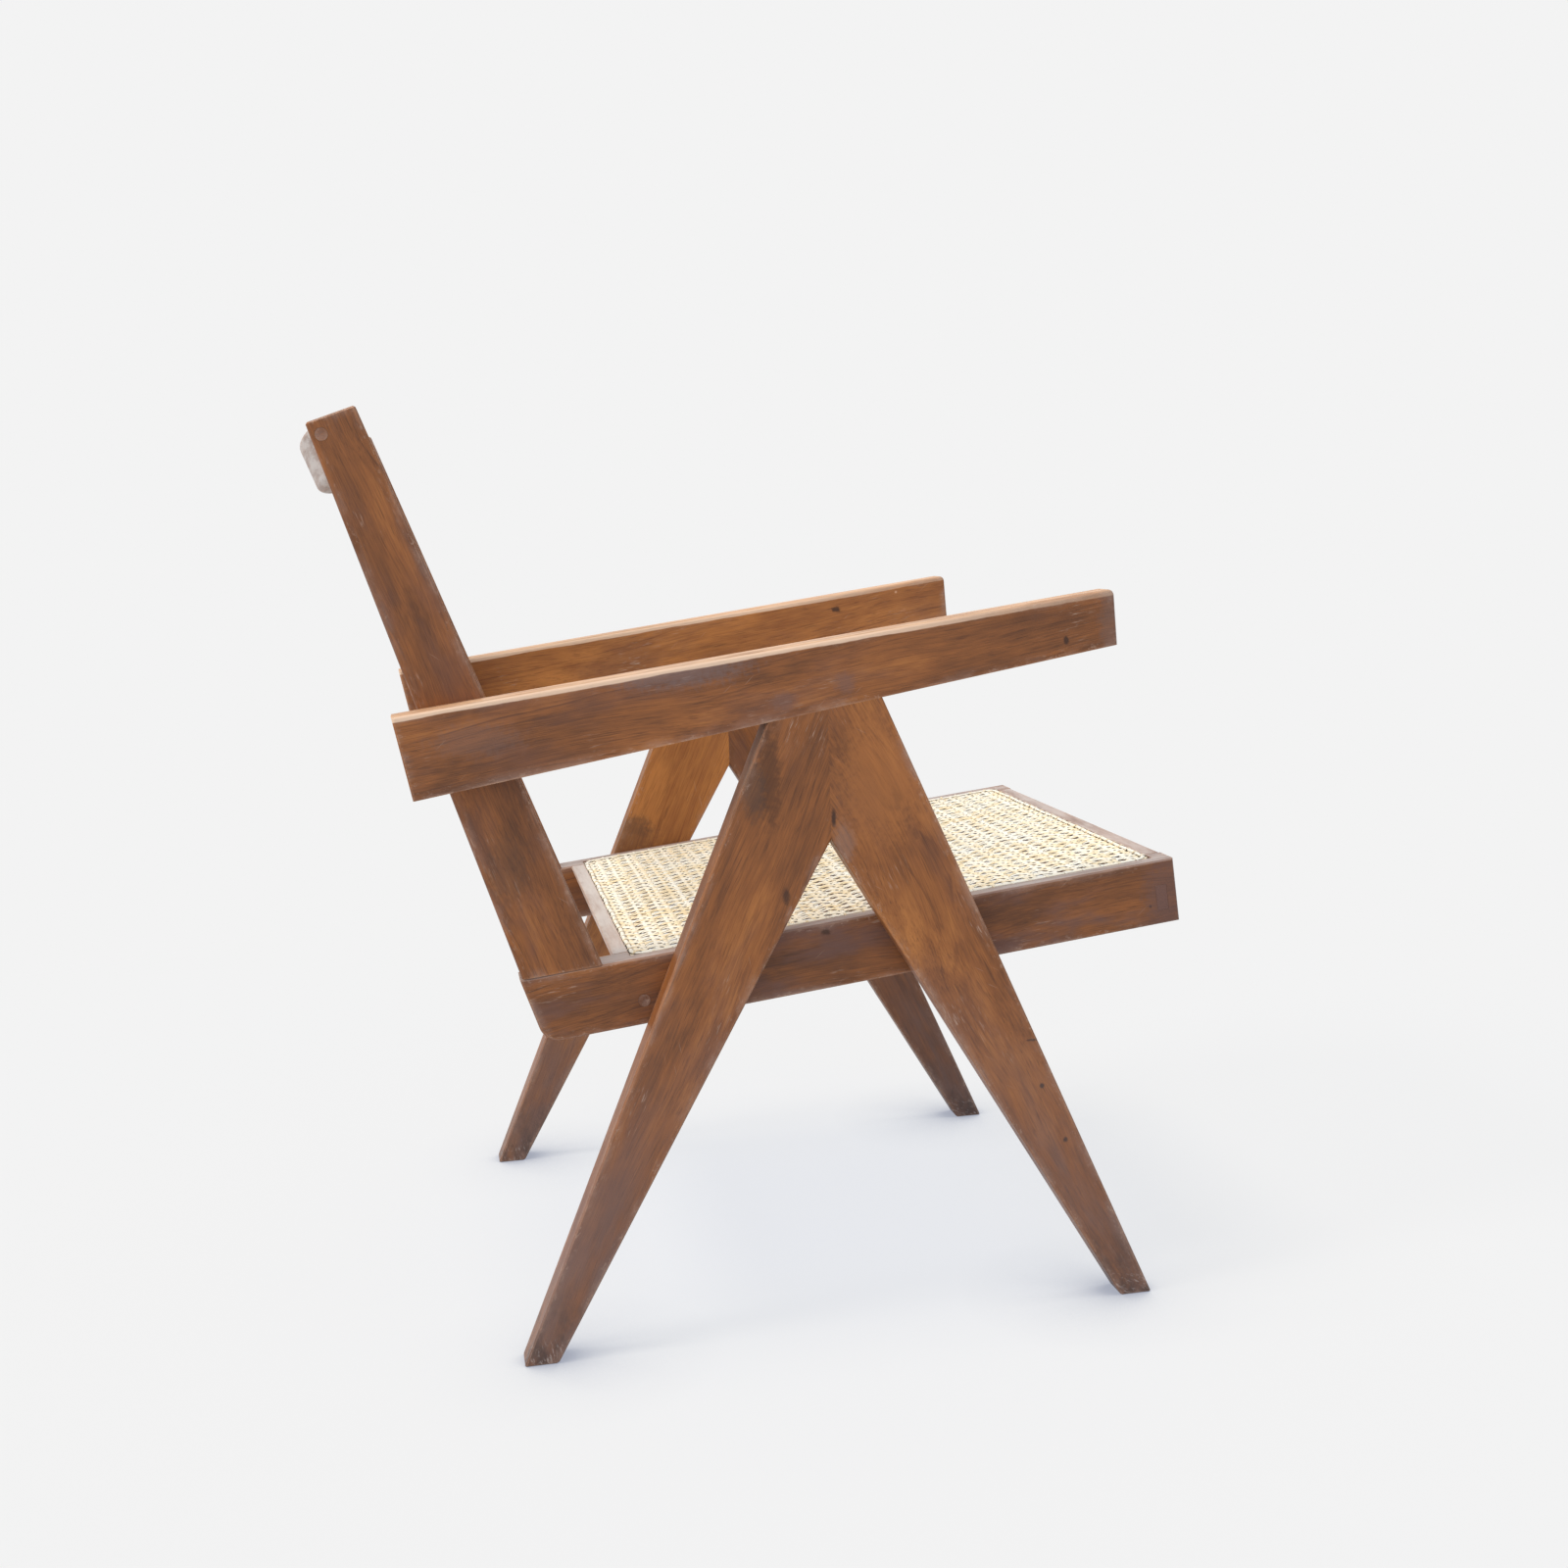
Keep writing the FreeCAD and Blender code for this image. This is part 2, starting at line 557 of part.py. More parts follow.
# Tenons of the seat's cross rails, drawn as one bar right through each rail
def seat_tongue(back, down, depth, play):
    """Corners of a tenon's section in the seat frame, grown by a play all round."""
    near = f"{back} - {play}"
    far = f"{back} + dims.tenon + {play}"
    top = f"{down} - {play}"
    foot = f"{down} + {depth} + {play}"
    return [seat_point(near, foot), seat_point(near, top), seat_point(far, top), seat_point(far, foot)]


def seat_mortise(name, back, down, depth, reach):
    """The mortise for such a tenon, in the right-hand side rail."""
    corner = seat_point(f"{back} - {PLAY}", f"{down} + {depth} + {PLAY}")
    return block(name, (reach, f"dims.tenon + 2 * {PLAY}", f"{depth} + 2 * {PLAY}"),
                 f"-layout.frame_inside - ({reach})", corner, "dims.seat_slope")


rear_tenon_back = ("layout.rear_rail_back - dims.rear_rail_width / 2 - dims.tenon / 2"
                   " - (dims.rear_tenon_drop + dims.rear_tenon_depth / 2) * layout.rear_rail_lean")
FRONT_TENON = ("dims.front_tenon_set", "dims.front_tenon_drop", "dims.front_tenon_depth")
REAR_TENON = (rear_tenon_back, "dims.rear_tenon_drop", "dims.rear_tenon_depth")

# Front seat rail: between the side rails, with through tenons
front_rail = plank("front_rail", [seat_point("0", "dims.rail_depth"), seat_point("0", "0"),
                                  seat_point("dims.front_rail_width", "0"),
                                  seat_point("dims.front_rail_width", "dims.rail_depth")],
                   "-layout.frame_inside", "2 * layout.frame_inside")
bevel_edges(front_rail, "dims.arris", lambda middle, along: abs(along.x) > 0.9)
add_tongue(front_rail, "front_rail_tenons", seat_tongue(*FRONT_TENON, "0"),
           "-layout.rail_face", "2 * layout.rail_face")
keep("front_seat_rail", cut("front_seat_rail_cut", front_rail, [seat_rebate]))

# Rear seat rail: leans with the back posts, a narrow gap ahead of them, with stub tenons
rear_rail_front = "layout.rear_rail_back - dims.rear_rail_width"
rear_rail_shift = "dims.rear_rail_depth * layout.rear_rail_lean"
rear_rail = plank("rear_rail", [
    seat_point(f"{rear_rail_front} - {rear_rail_shift}", "dims.rear_rail_depth"),
    seat_point(rear_rail_front, "0"), seat_point("layout.rear_rail_back", "0"),
    seat_point(f"layout.rear_rail_back - {rear_rail_shift}", "dims.rear_rail_depth")],
    "-layout.frame_inside", "2 * layout.frame_inside")
bevel_edges(rear_rail, "dims.arris", lambda middle, along: abs(along.x) > 0.9)
add_tongue(rear_rail, "rear_rail_tenons", seat_tongue(*REAR_TENON, "0"),
           "-layout.frame_inside - dims.tenon_reach", "2 * (layout.frame_inside + dims.tenon_reach)")
rear_peg_hole_left = mirrored(rear_peg_hole, "rear_peg_hole_left")
keep("rear_seat_rail", cut("rear_seat_rail_cut", rear_rail, [seat_rebate, rear_peg_hole, rear_peg_hole_left]))

# Seat side rail: carries the back post on its top and the legs on its outside
post_tenon_width = "(dims.post_foot - 2 * dims.post_tenon_shoulder)"
tenon_side = "-layout.rail_face + (dims.frame_thickness - dims.tenon) / 2"
post_mortise = block("post_mortise", (f"dims.tenon + 2 * {PLAY}", f"{post_tenon_width} + 2 * {PLAY}",
                                      f"dims.post_tenon_reach + {PLAY} + {ABOVE}"),
                     f"{tenon_side} - {PLAY}",
                     seat_point(f"layout.post_toe + dims.post_tenon_shoulder - {PLAY}",
                                f"dims.post_tenon_reach + {PLAY}"), "dims.seat_slope")
side_rail = plank("side_rail", [seat_point("0", "dims.rail_depth"), seat_point("0", "0"),
                                seat_point("dims.rail_length", "0"),
                                seat_point("dims.rail_length - dims.rail_rake", "dims.rail_depth")],
                  "-layout.rail_face", "dims.frame_thickness")
heel_y = number(seat_point("dims.rail_length - dims.rail_rake", "0")[0]) - number("dims.rail_corner")
heel_z = number(seat_point("dims.rail_length", "dims.rail_depth / 2")[1])
round_edges(side_rail, "dims.rail_corner",
            lambda middle, along: abs(along.x) > 0.9 and middle.y > heel_y and middle.z < heel_z)
bevel_edges(side_rail, "dims.arris", lambda middle, along: abs(along.x) < 0.1)
keep_pair("seat_side_rail", cut("right_seat_side_rail_cut", side_rail, [
    seat_rebate, post_mortise, rear_peg_hole,
    seat_mortise("front_mortise", *FRONT_TENON, f"dims.frame_thickness + {PLAY}"),
    seat_mortise("rear_mortise", *REAR_TENON, f"dims.tenon_reach + {PLAY}"),
    screw_holes["rear_leg"], screw_holes["front_leg"]]))


# Back post: tapered, leaning, cut square at its top, with a tenon in the side rail
def back_mortise(name, drop):
    """The mortise in the right-hand post for a back rail whose top is so far down the post."""
    top = f"({drop}) + dims.back_tenon_drop"
    return block(name, (f"dims.tenon_reach + {PLAY}", f"dims.tenon + 2 * {PLAY}",
                        f"dims.back_tenon_depth + 2 * {PLAY}"),
                 f"-layout.frame_inside - dims.tenon_reach - {PLAY}",
                 back_point(f"dims.crest_setback + dims.back_tenon_set - {PLAY}",
                            f"{top} + dims.back_tenon_depth + {PLAY}"), "dims.back_lean")


post_toe_point = ("layout.post_toe_y", "layout.post_toe_z")
post_head_point = ("layout.post_head_y", "dims.overall_height")
back_post = plank("back_post", [post_heel_point, post_toe_point, post_head_point, post_top_rear],
                  "-layout.rail_face", "dims.frame_thickness")
clear_of_foot = off_line(post_heel_point, post_toe_point)
clear_of_rear = off_line(post_heel_point, post_top_rear)
outer_face = -number("layout.rail_face - dims.frame_thickness / 4")


def outer_rear_edge(middle, along):
    """True for the back post's long edge at its outer rear corner."""
    return abs(along.x) < 0.1 and middle.x < outer_face and not clear_of_rear(middle)


round_edges(back_post, "dims.post_ease", outer_rear_edge)
clear_of_ease = off_line(post_heel_point, post_top_rear, "dims.post_ease * 1.5")
bevel_edges(back_post, "dims.arris", lambda middle, along: clear_of_foot(middle) and clear_of_ease(middle))
tenon_toe = "layout.post_toe + dims.post_tenon_shoulder"
tenon_heel = f"{tenon_toe} + {post_tenon_width}"
INTO_POST = "-dims.clearance"
add_tongue(back_post, "back_post_tenon", [
    seat_point(tenon_heel, "dims.post_tenon_reach"), seat_point(tenon_toe, "dims.post_tenon_reach"),
    seat_point(tenon_toe, INTO_POST), seat_point(tenon_heel, INTO_POST)], tenon_side, "dims.tenon")
keep_pair("back_post", cut("right_back_post_cut", back_post, [
    crest_peg_hole, back_mortise("crest_mortise", "0"), back_mortise("lower_mortise", "dims.lower_rail_drop"),
    screw_holes["post"]]))

# Gaps of the plain nets that stand for the open weave: across the chair, then down the back or along the seat
BACK_GAP_COUNTS = (10, 6)
SEAT_GAP_COUNTS = (10, 10)


# The back's bowed rails and cane, drawn in plan on a frame that leans with the posts
def bowed(name, front, rear, drop, depth, play):
    """A band hollowed across the chair, so far down the posts, over a depth, short of them by a play."""
    body = doc.addObject("PartDesign::Body", name)
    sketch = new_sketch(body, name + "_plan", "XY_Plane", f"-(({drop}) + ({depth}))")
    draw_bow(sketch, f"layout.frame_inside - ({play})", front, rear)
    pad(body, sketch, depth)
    place(body, "0", post_head_point, TILT_BACK, "dims.back_lean")
    return body


def add_end_tenons(body, name, drop):
    """A stub tenon at each end of a bowed rail whose top is so far down the posts."""
    near = "dims.crest_setback + dims.back_tenon_set"
    far = f"{near} + dims.tenon"
    root = "layout.frame_inside - dims.tenon"
    tip = "layout.frame_inside + dims.tenon_reach"
    foot = f"-(({drop}) + dims.back_tenon_drop + dims.back_tenon_depth)"
    for side, sign in (("right", "-"), ("left", "")):
        sketch = new_sketch(body, f"{name}_{side}_tenon", "XY_Plane", foot)
        corners = ((root, near), (tip, near), (tip, far), (root, far))
        draw_outline(sketch, [(f"{sign}({x})", y) for x, y in corners])
        pad(body, sketch, "dims.back_tenon_depth")


def back_rail(name, drop, depth):
    """A bowed rail with rounded rear edges and a stub tenon at each end."""
    body = bowed(name, "dims.crest_setback", "dims.crest_setback + dims.crest_thickness", drop, depth, "0")
    behind = number("dims.crest_setback + dims.back_bow + dims.crest_thickness / 2")
    round_edges(body, "dims.crest_round", lambda middle, along: abs(along.x) > 0.9 and middle.y > behind)
    bevel_edges(body, "dims.arris", lambda middle, along: abs(along.x) > 0.9 and middle.y < behind)
    add_end_tenons(body, name, drop)
    return body


back_field = "layout.back_foot - 2 * dims.rim"
back_rebate = bowed("back_rebate", "dims.crest_setback - dims.rim", "dims.crest_setback + dims.rebate",
                    "dims.rim", back_field, "-dims.rim")

# Crest rail and lower back rail
crest = back_rail("crest", "0", "dims.crest_depth")
crest_peg_hole_left = mirrored(crest_peg_hole, "crest_peg_hole_left")
keep("crest_rail", cut("crest_rail_cut", crest, [back_rebate, crest_peg_hole, crest_peg_hole_left]))
lower = back_rail("lower", "dims.lower_rail_drop", "dims.lower_rail_depth")
keep("lower_back_rail", cut("lower_back_rail_cut", lower, [back_rebate]))

# Back cane: a thin bowed net in the rebate, with a flat strip over its edges
back_sheet = bowed("back_cane_sheet", "layout.cane_front", f"layout.cane_front + dims.cane - {PLAY}",
                   f"dims.rim + {PLAY}", f"{back_field} - 2 * {PLAY}", PLAY)
back_net_half = "layout.frame_inside - dims.back_net_margin"
back_net_spans = (f"2 * ({back_net_half})", "dims.lower_rail_drop - dims.crest_depth")
net(back_sheet, "XZ_Plane", (f"-({back_net_half})", "-dims.lower_rail_drop"), back_net_spans, BACK_GAP_COUNTS,
    ("X_Axis", "Z_Axis"), "dims.crest_setback + dims.crest_thickness + dims.back_bow")
keep("back_cane", back_sheet)
binder_band = bowed("back_binder_band", f"layout.cane_front - {PLAY} - dims.binder_thickness",
                    f"layout.cane_front - {PLAY}", f"dims.rim + {PLAY}", f"{back_field} - 2 * {PLAY}", PLAY)
window = block("back_binder_window",
               ("2 * (layout.frame_inside - dims.binder_width)", "dims.crest_thickness + dims.back_bow",
                f"{back_field} - 2 * dims.binder_width"),
               "-(layout.frame_inside - dims.binder_width)",
               back_point("0", f"dims.rim + {back_field} - dims.binder_width"), "dims.back_lean")
keep("back_cane_binder", cut("back_cane_binder_cut", binder_band, [window]))


# Seat cane: a thin flat net in the seat frame's rebate, with a flat strip over its edges
def seat_field(inset):
    """Corners of the caned field in the seat's own plane, drawn in by an inset."""
    side = f"layout.rail_face - dims.rim - ({inset})"
    near = f"dims.rim + ({inset})"
    far = f"layout.rear_rail_back - dims.rim - ({inset})"
    return [(f"-({side})", near), (side, near), (side, far), (f"-({side})", far)]


def seat_sheet(name, insets, base, thickness):
    """A flat sheet with round corners on the seat: outlines at the insets, from a height, over a thickness."""
    body = doc.addObject("PartDesign::Body", name)
    sketch = new_sketch(body, name + "_plan", "XY_Plane", base)
    corners = []
    for inset in insets:
        corners.extend(seat_field(inset))
    draw_loops(sketch, corners, len(insets))
    pad(body, sketch, thickness)
    edge_x = number("layout.rail_face - dims.rim - dims.binder_width / 2")
    round_edges(body, "dims.cane_corner", lambda middle, along: abs(along.z) > 0.9 and abs(middle.x) > edge_x)
    place(body, "0", ("-dims.seat_front_reach", "dims.seat_front_height"), TILT_BACK, "dims.seat_slope")
    if len(insets) > 1:
        round_edges(body, "dims.cane_corner - dims.binder_width",
                    lambda middle, along: abs(along.z) > 0.9 and abs(middle.x) < edge_x
                    and abs(middle.x) > edge_x - number("dims.binder_width"))
    return body


seat_cane = seat_sheet("seat_cane_sheet", [PLAY], "-dims.rebate", "dims.cane")
seat_net_half = "layout.rail_face - dims.rim - dims.seat_net_margin"
seat_net_spans = (f"2 * ({seat_net_half})",
                  "layout.rear_rail_back - 2 * (dims.rim + dims.seat_net_margin)")
net(seat_cane, "XY_Plane", (f"-({seat_net_half})", "dims.rim + dims.seat_net_margin"), seat_net_spans,
    SEAT_GAP_COUNTS, ("X_Axis", "Y_Axis"), "2 * dims.rebate")
keep("seat_cane", seat_cane)
keep("seat_cane_binder", seat_sheet("seat_binder_ring", [PLAY, "dims.binder_width"], "dims.cane - dims.rebate",
                                    "dims.binder_thickness"))

# Check every object, then write one file for each piece
doc.recompute()
for item in doc.Objects:
    if "Invalid" in item.State or "Error" in item.State:
        raise RuntimeError(f"{item.Label} does not build: {item.State}")
os.makedirs("parts", exist_ok=True)
for node, piece in nodes.items():
    if piece.Shape.isNull() or not piece.Shape.isValid():
        raise RuntimeError(f"{node} has no valid shape")
    piece.Shape.exportStep(f"parts/{node}.step")
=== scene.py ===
# Teak easy chair with A-shaped legs, plank arms and a caned seat and back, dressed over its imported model.
# Everything is in metres in the model's own frame: +Z up, the front towards -Y, the floor at zero.
import math

import bpy
import numpy as np
from mathutils import Matrix


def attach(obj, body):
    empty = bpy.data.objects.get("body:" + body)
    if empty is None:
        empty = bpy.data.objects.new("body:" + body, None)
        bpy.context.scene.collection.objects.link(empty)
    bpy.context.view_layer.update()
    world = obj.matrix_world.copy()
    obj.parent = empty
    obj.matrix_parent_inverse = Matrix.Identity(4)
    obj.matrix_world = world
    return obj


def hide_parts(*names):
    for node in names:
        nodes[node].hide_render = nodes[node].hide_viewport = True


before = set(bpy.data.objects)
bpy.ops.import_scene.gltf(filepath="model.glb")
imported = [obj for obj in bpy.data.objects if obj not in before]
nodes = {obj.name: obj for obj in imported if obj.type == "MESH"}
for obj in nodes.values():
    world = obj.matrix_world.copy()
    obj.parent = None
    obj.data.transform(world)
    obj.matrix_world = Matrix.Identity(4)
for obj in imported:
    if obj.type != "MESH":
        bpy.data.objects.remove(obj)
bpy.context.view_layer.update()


# Legs: four tapered teak boards, two to a side, mitred at the top into an A and splined along the seam.
# Old oiled teak, rubbed pale along its arrises, greyer towards the floor and scuffed at the feet,
# with a knot, nail holes, cracks and stains.
def plug(tree, socket, value):
    """Links another node's output to a socket, or sets the socket to a plain value."""
    if isinstance(value, bpy.types.NodeSocket):
        tree.links.new(value, socket)
    else:
        socket.default_value = value


def calc(tree, operation, first, second=0.0):
    """One sum on two values, as a Math node."""
    node = tree.nodes.new("ShaderNodeMath")
    node.operation = operation
    plug(tree, node.inputs[0], first)
    plug(tree, node.inputs[1], second)
    return node.outputs[0]


def vector_calc(tree, operation, first, second=(0.0, 0.0, 0.0)):
    """One sum on two vectors; the length and the dot product come out as a value."""
    node = tree.nodes.new("ShaderNodeVectorMath")
    node.operation = operation
    plug(tree, node.inputs[0], first)
    plug(tree, node.inputs[1], second)
    return node.outputs["Value" if operation in ("LENGTH", "DOT_PRODUCT") else "Vector"]


def smooth_step(tree, value, low, high, start=0.0, end=1.0):
    """Start below low, end above high, and a smooth S between them."""
    node = tree.nodes.new("ShaderNodeMapRange")
    node.interpolation_type = "SMOOTHSTEP"
    labels = ("Value", "From Min", "From Max", "To Min", "To Max")
    for label, number in zip(labels, (value, low, high, start, end)):
        plug(tree, node.inputs[label], number)
    return node.outputs["Result"]


def mixed(tree, share, under, over, way="MIX"):
    """Two colours laid over each other by a share from 0 to 1."""
    node = tree.nodes.new("ShaderNodeMix")
    node.data_type = "RGBA"
    node.blend_type = way
    plug(tree, node.inputs[0], share)
    plug(tree, node.inputs[6], under)
    plug(tree, node.inputs[7], over)
    return node.outputs[2]


def cloud(tree, vector, scale, detail=2.0, roughness=0.5, colour=False):
    """Noise from 0 to 1, its frequency in waves a metre given along each direction of the board."""
    node = tree.nodes.new("ShaderNodeTexNoise")
    node.inputs["Scale"].default_value = 1.0
    node.inputs["Detail"].default_value = detail
    node.inputs["Roughness"].default_value = roughness
    plug(tree, node.inputs["Vector"], vector_calc(tree, "MULTIPLY", vector, scale))
    return node.outputs[1 if colour else 0]


def patches(tree, vector, scale, detail, roughness, low, high, start=0.0, end=1.0):
    """Noise cut into soft patches: start where the noise is below low, end where it is above high."""
    return smooth_step(tree, cloud(tree, vector, scale, detail, roughness), low, high, start, end)


def paint(red, green, blue):
    """A colour as a screen shows it, 0 to 255, turned into the linear light that shaders use."""
    screen = np.array((red, green, blue)) / 255.0
    linear = np.where(screen <= 0.04045, screen / 12.92, ((screen + 0.055) / 1.055) ** 2.4)
    return (*linear.tolist(), 1.0)


def new_group(name, inputs, outputs):
    """An empty shader node group with named sockets, and its two ends."""
    tree = bpy.data.node_groups.new(name, "ShaderNodeTree")
    for label, kind in inputs:
        tree.interface.new_socket(label, in_out="INPUT", socket_type="NodeSocket" + kind)
    for label, kind in outputs:
        tree.interface.new_socket(label, in_out="OUTPUT", socket_type="NodeSocket" + kind)
    return tree, tree.nodes.new("NodeGroupInput").outputs, tree.nodes.new("NodeGroupOutput").inputs


# Teak grain in a board's own directions: x through its thickness, y along it and z across it.
# Rings are circles round a pith line that leans a little, bent by slow noise; fibres and pores run along.
grain_group, given, made = new_group(
    "teak_grain",
    (("Board", "Vector"), ("Pith", "Vector"), ("Ring", "Float"), ("Figure", "Float"), ("Lean", "Float")),
    (("Tone", "Float"), ("Patch", "Float"), ("Pore", "Float"), ("Height", "Float")),
)
swirl = cloud(grain_group, given["Board"], (8, 3.0, 8), 2.0, 0.5, True)
drift = vector_calc(grain_group, "SUBTRACT", swirl, (0.5, 0.5, 0.5))
drift_size = grain_group.nodes.new("ShaderNodeCombineXYZ")
for axis in ("X", "Y", "Z"):
    plug(grain_group, drift_size.inputs[axis], given["Figure"])
drift = vector_calc(grain_group, "MULTIPLY", drift, drift_size.outputs[0])
bent = vector_calc(grain_group, "ADD", given["Board"], drift)
from_pith = grain_group.nodes.new("ShaderNodeSeparateXYZ")
plug(grain_group, from_pith.inputs[0], vector_calc(grain_group, "SUBTRACT", bent, given["Pith"]))
slant = calc(grain_group, "MULTIPLY", from_pith.outputs["Y"], given["Lean"])
across = calc(grain_group, "ADD", from_pith.outputs["Z"], slant)
depth_square = calc(grain_group, "POWER", calc(grain_group, "ABSOLUTE", from_pith.outputs["X"]), 2.0)
across_square = calc(grain_group, "POWER", calc(grain_group, "ABSOLUTE", across), 2.0)
square = calc(grain_group, "ADD", depth_square, across_square)
ring_count = calc(grain_group, "DIVIDE", calc(grain_group, "SQRT", square), given["Ring"])
wobble = cloud(grain_group, bent, (110, 6, 110), 3.0, 0.6)
ring_count = calc(grain_group, "ADD", ring_count, calc(grain_group, "MULTIPLY", wobble, 0.55))
tooth = calc(grain_group, "FRACT", ring_count)
darkening = smooth_step(grain_group, tooth, 0.66, 0.93)
line = calc(grain_group, "MULTIPLY", darkening, smooth_step(grain_group, tooth, 1.0, 0.95))
ring_year = grain_group.nodes.new("ShaderNodeTexNoise")
ring_year.noise_dimensions = "1D"
ring_year.inputs["Scale"].default_value = 0.37
plug(grain_group, ring_year.inputs["W"], ring_count)
year = smooth_step(grain_group, ring_year.outputs[0], 0.36, 0.7)
fading = patches(grain_group, bent, (60, 12, 60), 2.0, 0.5, 0.36, 0.66, 0.15, 1.0)
line = calc(grain_group, "MULTIPLY", calc(grain_group, "MULTIPLY", line, year), fading)
fibre = cloud(grain_group, bent, (950, 24, 950), 2.0, 0.6)
streak = cloud(grain_group, bent, (230, 7, 230), 3.0, 0.6)
mottle = cloud(grain_group, given["Board"], (85, 30, 85), 3.0, 0.6)
glow = cloud(grain_group, bent, (24, 5, 24), 3.0, 0.5)
tone = calc(grain_group, "SUBTRACT", 0.56, calc(grain_group, "MULTIPLY", line, 0.25))
for layer, share in ((fibre, 0.42), (streak, 0.24), (mottle, 0.36), (glow, 0.95)):
    swing = calc(grain_group, "SUBTRACT", layer, 0.5)
    tone = calc(grain_group, "ADD", tone, calc(grain_group, "MULTIPLY", swing, share))
fine_pore = patches(grain_group, bent, (1250, 40, 1250), 1.0, 0.5, 0.6, 0.74)
long_pore = patches(grain_group, bent, (640, 24, 640), 2.0, 0.6, 0.57, 0.68, 0.0, 0.6)
pore = calc(grain_group, "MAXIMUM", fine_pore, long_pore)
stain = patches(grain_group, given["Board"], (30, 7, 30), 4.0, 0.6, 0.52, 0.7)
tone = calc(grain_group, "SUBTRACT", tone, calc(grain_group, "MULTIPLY", stain, 0.2))
worn = cloud(grain_group, given["Board"], (26, 9, 26), 4.0, 0.62)
plug(grain_group, made["Tone"], tone)
plug(grain_group, made["Patch"], smooth_step(grain_group, worn, 0.44, 0.68))
plug(grain_group, made["Pore"], pore)
pits = calc(grain_group, "MULTIPLY", pore, 0.6)
relief = calc(grain_group, "SUBTRACT", calc(grain_group, "MULTIPLY", fibre, 0.5), pits)
relief = calc(grain_group, "ADD", relief, calc(grain_group, "MULTIPLY", line, 0.15))
plug(grain_group, made["Height"], relief)

# Rubbed edges: where a rounded corner's normal leaves the face's own, broken up by noise.
edge_group, given, made = new_group(
    "rubbed_edge",
    (("Place", "Vector"), ("Reach", "Float")),
    (("Edge", "Float"),),
)
rounded = edge_group.nodes.new("ShaderNodeBevel")
rounded.samples = 4
plug(edge_group, rounded.inputs["Radius"], given["Reach"])
face = edge_group.nodes.new("ShaderNodeNewGeometry")
alike = vector_calc(edge_group, "DOT_PRODUCT", rounded.outputs[0], face.outputs["Normal"])
turned = calc(edge_group, "SUBTRACT", 1.0, alike)
patchy = patches(edge_group, given["Place"], (60, 60, 60), 3.0, 0.6, 0.3, 0.62, 0.35, 1.0)
on_corner = smooth_step(edge_group, turned, 0.015, 0.2)
plug(edge_group, made["Edge"], calc(edge_group, "MULTIPLY", on_corner, patchy))

# A mark: a soft oval spot round a place, for knots, fillings and scars.
mark_group, given, made = new_group(
    "mark",
    (("Place", "Vector"), ("Centre", "Vector"), ("Size", "Vector")),
    (("Mark", "Float"),),
)
from_centre = vector_calc(mark_group, "SUBTRACT", given["Place"], given["Centre"])
from_centre = vector_calc(mark_group, "DIVIDE", from_centre, given["Size"])
ragged = calc(mark_group, "SUBTRACT", cloud(mark_group, given["Place"], (240, 240, 240), 2.0), 0.5)
ragged = calc(mark_group, "MULTIPLY", ragged, 0.9)
distance = calc(mark_group, "ADD", vector_calc(mark_group, "LENGTH", from_centre), ragged)
plug(mark_group, made["Mark"], smooth_step(mark_group, distance, 1.0, 0.35))


def use_group(tree, group, **values):
    """One use of a shader node group, with its inputs given by name."""
    node = tree.nodes.new("ShaderNodeGroup")
    node.node_tree = group
    for name, value in values.items():
        plug(tree, node.inputs[name], value)
    return node.outputs


TEAK = (
    (0.0, paint(68, 42, 28)),
    (0.35, paint(106, 64, 36)),
    (0.6, paint(142, 86, 44)),
    (1.0, paint(189, 122, 62)),
)
TEAK_PORE = paint(66, 40, 26)
PORE_DUST = paint(186, 158, 138)
WORN_GREY = paint(160, 132, 118)
TEAK_PURPLE = paint(108, 77, 68)
RUBBED = paint(206, 160, 126)
# Grey for upward faces and scuffs: dust and wear, and on upward faces also a painted sheen of light from
# above
GREY_WEAR_AND_SHEEN = paint(196, 182, 174)
SILVER_AND_SHEEN = paint(204, 195, 188)
HAND_WEAR_AND_HIGHLIGHT = paint(232, 199, 170)
FLOOR_GREY = paint(117, 94, 88)
DIRT = paint(72, 58, 54)
# Wear: how far it reaches from an edge, the heights over the floor between which it fades, and how far
# scratches turn from the grain
WIDE_WEAR = 0.014
NARROW_WEAR = 0.003
DUST_HEIGHTS = (0.34, 0.03)
DIRT_HEIGHTS = (0.09, 0.0)
SCUFF_HEIGHTS = (0.03, 0.006)
SCRATCH_TURN = 0.62
# An armrest's top: its fall to the rear, its height above the origin, its pale strip of wear and painted
# highlight, and where this fades
ARM_TOP_FALL = 0.128
ARM_TOP_LEVEL = 0.5803
STRIP_DEPTHS = (0.0052, 0.0042)
STRIP_WAVER = 0.0016
STRIP_FADE = (-0.31, -0.05)


